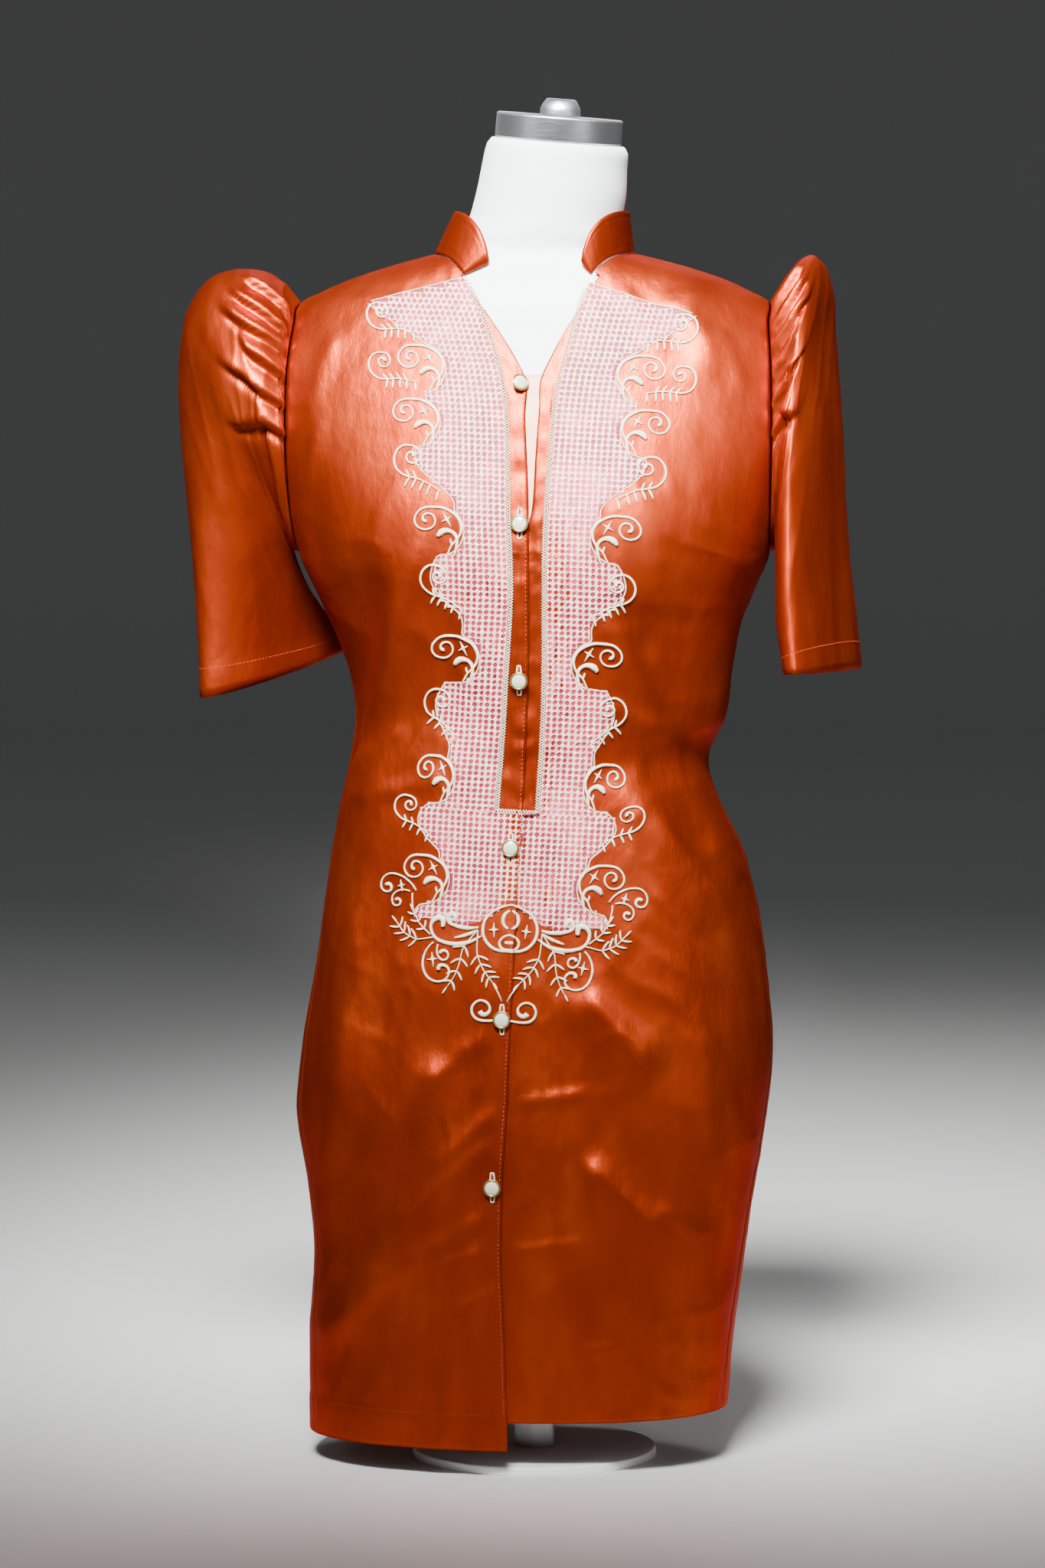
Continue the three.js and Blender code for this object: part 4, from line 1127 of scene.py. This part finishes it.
def placed_strokes(strokes, out, up, size, turn, across=1.0):
    """A motif at another place, turned, and larger or narrower."""
    angle = np.radians(turn)
    for line, width in strokes:
        o = line[:, 0] * np.cos(angle) - line[:, 1] * np.sin(angle)
        u = line[:, 0] * np.sin(angle) + line[:, 1] * np.cos(angle)
        yield np.stack([out + o * size * across, up + u * size], -1), width * size**0.5


def side_strokes():
    """One side of the border beside the openwork, from the shoulder down."""
    strokes = []
    for out, up, across in zip(*POCKETS.values()):
        strokes += placed_strokes(pocket(), out, up, 1, 0, across)
    for out, up, size, turn, teeth, upper in zip(*CURLS.values()):
        strokes += placed_strokes(lobe(int(teeth), int(upper)), out, up, size, turn)
    return strokes


def foot_strokes():
    """One side of the scrolls and ferns below the openwork."""
    stem = np.array([(10, 361), (5, 353), (2, 347)], float)
    under_net = [
        scroll(
            52.5, 401.5, 90, [(4, 0), (6, -110), (10, -75), (13, -65), (34, -60)],
            4.5, 6.8, 3.6, 3.2, 3.6, 4.2, 5.0, 3.6, 1.8,
        ),
        scroll(43, 406.5, 90, [(3, 0), (6, -130), (9, -120), (22, -35)], 4.0, 6.2, 3.6, 3.6, 4.2, 3.8, 2.0),
        leaf(25, 401, -22, 19, 3.4, 20),
    ]
    curls = [
        scroll(
            53, 368, 60, [(5, 110), (9, 100), (11, 80), (15, 75), (26, 75)],
            4.6, 2.2, 2.2, 2.6, 2.6, 2.2, 1.6,
        ),
        scroll(53, 381, 100, [(4, 80), (7, 110), (8, 120), (11, 60)], 4.2, 2.2, 2.2, 2.2, 1.7),
        *star(58.5, 376, 6, 80),
    ]
    ferns = [
        *fern([(25, 401), (31, 393), (36, 386), (37.5, 373), (41, 363), (46, 355)], 9, 4, 0.38),
        *fern([(25, 401), (24.5, 383), (19, 371), (10, 361)], 9, 4, 0.42),
        *fern([(59, 393), (72, 390), (82, 394), (89, 402)], 9, 4, 0.35),
        *fern([(62, 395), (71, 403), (76, 412)], 6.5, 3, 0.3),
    ]
    outer_curls = [
        scroll(
            100, 430, 120, [(4, 100), (6, 110), (9, 110), (16, 100), (24, 60)],
            4.2, 2.2, 2.0, 2.0, 2.0, 1.6,
        ),
        scroll(91, 419, 100, [(3, 100), (5, 110), (7, 110), (9, 80), (13, 60)], 3.6, 2.0, 1.8, 1.8, 1.6),
        *star(87, 431, 5, 75),
        scroll(76, 412, 75, [(14, 15)], 1.6),
    ]
    foot_curl = [
        (stem, widths(3, 1.3, 1.4, 1.6)),
        scroll(
            18.5, 338.5, -110, [(5, -80), (8, -100), (11, -90), (20, -150), (13, -25)],
            5.6, 2.6, 2.4, 2.8, 2.8, 2.2,
        ),
    ]
    medallion = [
        scroll(0, 422, -10, [(15, -25), (18, -60), (24, -85), (5, 0)], 2.0, 2.6, 3.2, 3.4, 3.0),
        scroll(1, 417.5, -25, [(9, -60), (9, -75)], 2.4, 4.0, 3.8, 2.6),
        scroll(0, 398.5, -5, [(8, -50), (8, -100), (5, -30)], 2.0, 2.8, 2.6),
        scroll(0.3, 392.5, 0, [(3, 0)], 4.2, 3.0),
        *star(12.5, 402, 6, 85),
    ]
    return under_net + curls + ferns + outer_curls + foot_curl + medallion


def zigzag(threads, sign, out, up):
    """Two crossing zigzag rows along a line, 3.6 mm wide and 4.3 mm from point to point."""
    out, up = resample(out, up, 4.3 / 2)
    ahead_out, ahead_up = np.gradient(out), np.gradient(up)
    length = np.hypot(ahead_out, ahead_up)
    way = np.where(np.arange(len(out)) % 2 == 0, 1, -1) * 3.6 / 2
    fine = np.linspace(0, len(out) - 1, 2 * len(out) - 1)
    for row in (-1, 1):
        row_out = np.interp(fine, np.arange(len(out)), out + row * way * ahead_up / length)
        row_up = np.interp(fine, np.arange(len(out)), up - row * way * ahead_out / length)
        x, z = from_centre(sign, row_out, row_up)
        threads.lay(x, z, 0.9, 0.9, 1.2 + 0.2 * row)


def embroidery():
    for sign, side in ((-1, "right"), (1, "left")):
        threads = Thread(sides=6)
        for line, width in side_strokes() + foot_strokes():
            x, z = from_centre(sign, line[:, 0], line[:, 1])
            threads.lay(x, z, 0.76 * width, 0.8 + 0.4 * width, 0.7)
        threads.build(f"embroidery_{side}", cream_thread)
        borders = Thread(sides=4)
        up = np.linspace(NET_STRIP_LOW, 903, 200)
        zigzag(borders, sign, read(CENTRE, "half", up), up)
        out = np.linspace(0.5, float(read(CENTRE, "half", NET_STRIP_LOW)), 12)
        zigzag(borders, sign, out, np.full(12, float(NET_STRIP_LOW)))
        up = np.linspace(NET_LOW - 1, 883, 260)
        x, z = from_centre(sign, net_outer(up), up)
        borders.lay(*resample(x, z, 1.8), 1.1, 0.9, 0.5)
        out = np.linspace(126, 47, 50)
        x, z = from_centre(sign, out, NET_HIGH - (out - 47) * NET_TOP_SLOPE)
        borders.lay(*resample(x, z, 1.8), 1.0, 0.9, 0.5)
        borders.build(f"net_borders_{side}", cream_thread)


openwork()
embroidery()


# Stitches
def dashes(threads, points, normals):
    """Single stitches along a line of points on the cloth."""
    stitch, gap = 2.3, 1.1
    length = np.concatenate([[0], np.cumsum(np.linalg.norm(np.diff(points, axis=0), axis=1))])
    start = 0.5
    while start + stitch < length[-1]:
        at = np.linspace(start, start + stitch, 3)
        place = np.stack([np.interp(at, length, points[:, k]) for k in range(3)], -1)
        normal = np.stack([np.interp(at, length, normals[:, k]) for k in range(3)], -1)
        threads.add(place, unit(normal), 0.5, 0.4)
        start += stitch + gap


def stitching():
    threads = Thread(sides=4)
    z = np.linspace(RIGHT_HEM_Z + 2, V_BOTTOM_Z, 420)
    dashes(threads, *on_front(read(RIGHT_EDGE, "x", z) - 2.2, z, 0.55))
    z = np.linspace(700, V_BOTTOM_Z, 70)
    dashes(threads, *on_front(read(LEFT_EDGE, "x", z) + 2.2, z, 0.1))
    for side, hem in (("right", RIGHT_HEM_Z), ("left", LEFT_HEM_Z)):
        height = np.full(90, hem + HEM_DEPTH - 2.0)
        start = angle_at_x(read(RIGHT_EDGE, "x", height[0]) + SIGN[side] * 2, height[0])
        end = SIGN[side] * (outer_angle(height[0], side, 0, False) - 0.01)
        angle = np.linspace(start, end, 90)
        lift = lap_lift(shell(angle, height)[..., 0], height) if side == "right" else 0
        dashes(threads, skin(angle, height, lift + np.full(90, 0.1)), shell_normal(angle, height))
    share = np.linspace(0, 1, 200)
    angle = mix(np.radians(81), np.radians(285), share)
    height = mix(LEFT_HEM_Z, RIGHT_HEM_Z, smooth(share)) + HEM_DEPTH - 2
    dashes(threads, skin(angle, height, 0.1), shell_normal(angle, height))
    turn = np.linspace(0, 2 * np.pi, 160)
    share = np.full(160, 1 - (CUFF_DEPTH - 2) / 300)
    for side, rows in (("right", RIGHT_SLEEVE), ("left", LEFT_SLEEVE)):
        points = sleeve_point(rows, side, share, turn, -0.1)
        dashes(threads, points, sleeve_normal(rows, side, share, turn))
    threads.build("stitches", orange_thread)


def buttonholes():
    """An upright bound slit behind each button but the top one, which hides its own."""
    binding, slits = Thread(sides=6), Thread(sides=6)
    turn = np.linspace(0, 2 * np.pi, 40, endpoint=False)
    for x, z in list(zip(*BUTTONS.values()))[1:]:
        along = np.clip(np.sin(turn) * 1.25, -1, 1)
        binding.lay(x + 1.9 * np.cos(turn), z + 11.5 * along, 1.2, 0.9, 1.0, True)
        # the dark strip along the slit is painted shade in the cut's gap
        slits.lay(x, z + np.linspace(-10.5, 10.5, 14), 1.6, 0.5, 0.8)
    binding.build("buttonhole_binding", cream_thread)
    slits.build("buttonhole_slits", slit_painted_shade)


stitching()
buttonholes()


# Turned pieces
def tube_faces(rows, columns):
    """The faces of stacked rings, with both ends closed."""
    faces = grid_faces(rows, columns, True).tolist()
    return faces + [range(columns)[::-1], range((rows - 1) * columns, rows * columns)]


def turned(name, profile, segments, matrix, material, slot):
    """A profile of (radius, height) turned about +Z, from bottom to top."""
    turn = np.linspace(0, 2 * np.pi, segments, endpoint=False)
    points = [
        matrix @ Vector((radius * np.cos(a), radius * np.sin(a), height))
        for radius, height in profile
        for a in turn
    ]
    return mesh_object(name, points, tube_faces(len(profile), segments), material, slot)


def arc(cx, cy, radius, start, end, count=6):
    """Points of a profile on an arc, from one angle to another in degrees."""
    turn = np.radians(np.linspace(start, end, count))
    return [(cx + radius * np.cos(a), cy + radius * np.sin(a)) for a in turn]


def cornered(obj):
    """Smooth shading that keeps the corners of a turned piece."""
    obj.data.set_sharp_from_angle(angle=np.radians(35))
    return obj


def buttons():
    rim_profile = [
        (BUTTON_RADIUS - 1.6, 2.0), (BUTTON_RADIUS - 0.5, 2.0),
        *arc(BUTTON_RADIUS - 0.8, 3.1, 0.8, -60, 90, 8),
        *arc(BUTTON_RADIUS - 0.9, 3.3, 0.6, 90, 170, 5),
        (BUTTON_RADIUS - 1.6, 3.0),
    ]
    dome_profile = [
        (2.2, 0.0), (2.2, 2.1), (BUTTON_RADIUS - 1.7, 2.1), (BUTTON_RADIUS - 1.7, 3.2),
        (BUTTON_RADIUS * 0.75, 3.7), (BUTTON_RADIUS * 0.5, 4.4), (BUTTON_RADIUS * 0.25, 4.8), (0.4, 5.0),
    ]
    for i, (x, z) in enumerate(zip(*BUTTONS.values())):
        point, normal = on_front(np.array(x), np.array(z), 0.0)
        point = point + normal * (SEAM + 0.6)
        normal = Vector(normal)
        if i == 0:  # the top button is turned aside by the open collar
            normal = (normal + Vector((0.5, 0, 0.1))).normalized()
        turn = normal.to_track_quat("Z", "Y").to_matrix().to_4x4()
        matrix = Matrix.Translation(Vector(point)) @ turn
        disc = cornered(turned(f"button_{i + 1}_disc", dome_profile, 40, matrix, pearl, "buttons"))
        turned(f"button_{i + 1}_rim", rim_profile, 40, matrix, gold, "buttons")
        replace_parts(disc, f"button_{i + 1}")


def section(z, half, front, back, round_, x, y, turn):
    """One level ring of the form."""
    radius = oval(turn, half, np.where(np.cos(turn) >= 0, front, back), round_)
    return np.stack([x + radius * np.sin(turn), y - radius * np.cos(turn), z + 0 * turn], -1)


def torso():
    """The jersey form: its body, its shoulders inside the dress, and its leaning neck."""
    turn = np.linspace(0, 2 * np.pi, 120, endpoint=False)
    rings = []
    for z in np.linspace(TORSO["z"][0], TORSO["z"][-1], 60):
        half, front, behind, round_ = (read(TORSO, c, z) for c in ("half", "front", "back", "round"))
        rings.append(section(z, half, front, behind, round_, 0, 0, turn))
    for z in np.linspace(SHOULDER_Z - 6, NECK_Z - 1, 16):
        height = np.full(turn.shape, z)
        ring = shell(turn, height) - shell_normal(turn, height) * (WALL + REST_GAP)
        ring[:, 0] = np.clip(ring[:, 0], -ARM_PLATE_X, ARM_PLATE_X)
        rings.append(ring)
    foot, top = NECK["z"][0], NECK["z"][-1]
    for z in np.linspace(foot, top, 36):
        half, front, behind, x, y = (read(NECK, c, z) for c in ("half", "front", "back", "x", "y"))
        ring = section(z, half, front, behind, 2, x, y, turn)
        aside = np.tan(LEAN_SIDE) * (ring[:, 0] - x)
        ahead = np.tan(LEAN_FRONT) * (ring[:, 1] - y)
        ring[:, 2] += smooth((z - foot) / (top - foot)) * (ahead - aside)
        rings.append(ring)
    grid = np.stack(rings)
    outward = unit(grid - grid.mean(1, keepdims=True))
    x, z = grid[..., 0], grid[..., 2]
    gather = 1.4 * np.exp(-(((z - 934) / 7) ** 2))
    wrinkle = 0.5 * noise(x / 9, z / 5, 71) * np.exp(-(((z - 930) / 22) ** 2))
    grid = grid - outward * np.maximum(gather - wrinkle, -0.4)[..., None]
    obj = mesh_object("form", grid.reshape(-1, 3), tube_faces(*grid.shape[:2]), jersey, "form")
    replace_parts(obj, "form_torso")


def stand_and_cap():
    x, y, z = (NECK[c][-1] for c in ("x", "y", "z"))
    lean = Matrix.Rotation(LEAN_FRONT, 4, "X") @ Matrix.Rotation(LEAN_SIDE, 4, "Y")
    head = Matrix.Translation((x, y, z + SEAM)) @ lean
    lifted = head @ Matrix.Translation((0, 0, CAP_HEIGHT + SEAM))
    floor_level = Matrix.Translation((0, 0, -LIFT))
    cap_profile = [
        (CAP_RADIUS - 1, 0), (CAP_RADIUS, 1), (CAP_RADIUS, CAP_HEIGHT - 2.5),
        *arc(CAP_RADIUS - 2, CAP_HEIGHT - 2, 2, 10, 90, 6), (CAP_RADIUS - 6, CAP_HEIGHT),
        (18, CAP_HEIGHT), (1, CAP_HEIGHT),
    ]
    knob_profile = [
        (KNOB_RADIUS - 0.6, 0), (KNOB_RADIUS, 0.6), (KNOB_RADIUS, KNOB_HEIGHT * 0.35),
        (KNOB_RADIUS * 0.92, KNOB_HEIGHT * 0.6),
        *arc(KNOB_RADIUS * 0.6, KNOB_HEIGHT * 0.72, 3.6, 40, 90, 6), (1, KNOB_HEIGHT),
    ]
    pole_profile = [(POLE_RADIUS, BASE_THICK + SEAM), (POLE_RADIUS, TORSO["z"][0] + LIFT - SEAM)]
    base_profile = [
        (BASE_RADIUS - 0.5, 0), (BASE_RADIUS, 0.5), (BASE_RADIUS, BASE_THICK - 2),
        *arc(BASE_RADIUS - 2, BASE_THICK - 2, 2, 10, 90, 6), (1, BASE_THICK),
    ]
    for name, node, profile, segments, matrix, material, slot in (
        ("cap", "neck_cap", cap_profile, 96, head, aluminium, "cap"),
        ("knob", "cap_knob", knob_profile, 48, lifted, aluminium, "cap"),
        ("stand_pole", "pole", pole_profile, 48, floor_level, steel, "pole"),
        ("stand_base", "base_plate", base_profile, 96, floor_level, paint, "base"),
    ):
        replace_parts(cornered(turned(name, profile, segments, matrix, material, slot)), node)


buttons()
torso()
stand_and_cap()


# The studio
def studio():
    """A round floor in metres that curves up into a low wall, far out on all sides."""
    reach, curve, height = 11, 3, 8
    profile = [(0.01, 0), (reach, 0), *arc(reach, curve, curve, -84.27, 0, 12), (reach + curve, height)]
    turns = np.radians(np.arange(96) * 3.75)
    points = [(radius * np.cos(a), radius * np.sin(a), z) for radius, z in profile for a in turns]
    mesh = bpy.data.meshes.new("floor")
    mesh.from_pydata(points, [], grid_faces(len(profile), len(turns), is_ring=True).tolist())
    mesh.materials.append(floor_paper)
    mesh.shade_smooth()
    floor = bpy.data.objects.new("floor", mesh)
    bpy.context.collection.objects.link(floor)


def stand_aimed(obj, place, aim):
    """Puts a lamp or a camera at a place in metres, pointing at another."""
    obj.location = place
    obj.rotation_euler = (Vector(aim) - Vector(place)).to_track_quat("-Z", "Y").to_euler()
    bpy.context.collection.objects.link(obj)


def area_light(name, place, aim, size, power, spread=180):
    light = bpy.data.lights.new(name, "AREA")
    light.shape = "RECTANGLE"
    light.size, light.size_y = size
    light.energy = power
    light.spread = np.radians(spread)
    obj = bpy.data.objects.new(name, light)
    obj.visible_camera = False
    stand_aimed(obj, place, aim)


studio()
area_light("key", (-0.1, -1.7, 2.35), (0.03, 0, 0.84), (0.9, 0.6), 24, 34)
area_light("broad light", (0, -2.6, 2.9), (0, 0, 0.6), (1.6, 1.2), 26)
area_light("sleeve light", (0.9, -2.8, 1.4), (0.33, 0, 0.8), (0.3, 0.3), 0.9, 8)
area_light("left fill", (1.9, -1.8, 1.3), (0, 0, 0.7), (0.4, 1.0), 8)
area_light("right fill", (-1.9, -1.8, 1.3), (0, 0, 0.7), (0.4, 1.0), 4)
area_light("back light", (0, 2.6, 2.9), (0, 0, 0.6), (1.6, 1.2), 22)
world = bpy.data.worlds.new("studio")
world.use_nodes = True
background = world.node_tree.nodes["Background"].inputs
background["Color"].default_value = (0.9, 0.92, 0.95, 1)
background["Strength"].default_value = 0.09
bpy.context.scene.world = world

# The camera, where the photo was taken from
CAMERA_PLACE = Vector((382.5, -4079.9, 769.6 + LIFT)) * MM
CAMERA_AIM = Vector((-9.6, 0, 509 + LIFT)) * MM
FRAME_WIDTH_AT = 1365 / 6720  # frame width over distance
SENSOR_WIDTH = 36
camera_data = bpy.data.cameras.new("camera")
camera_data.sensor_fit = "HORIZONTAL"
camera_data.sensor_width = SENSOR_WIDTH
camera_data.lens = SENSOR_WIDTH / FRAME_WIDTH_AT
camera = bpy.data.objects.new("camera", camera_data)
stand_aimed(camera, CAMERA_PLACE, CAMERA_AIM)
bpy.context.scene.camera = camera
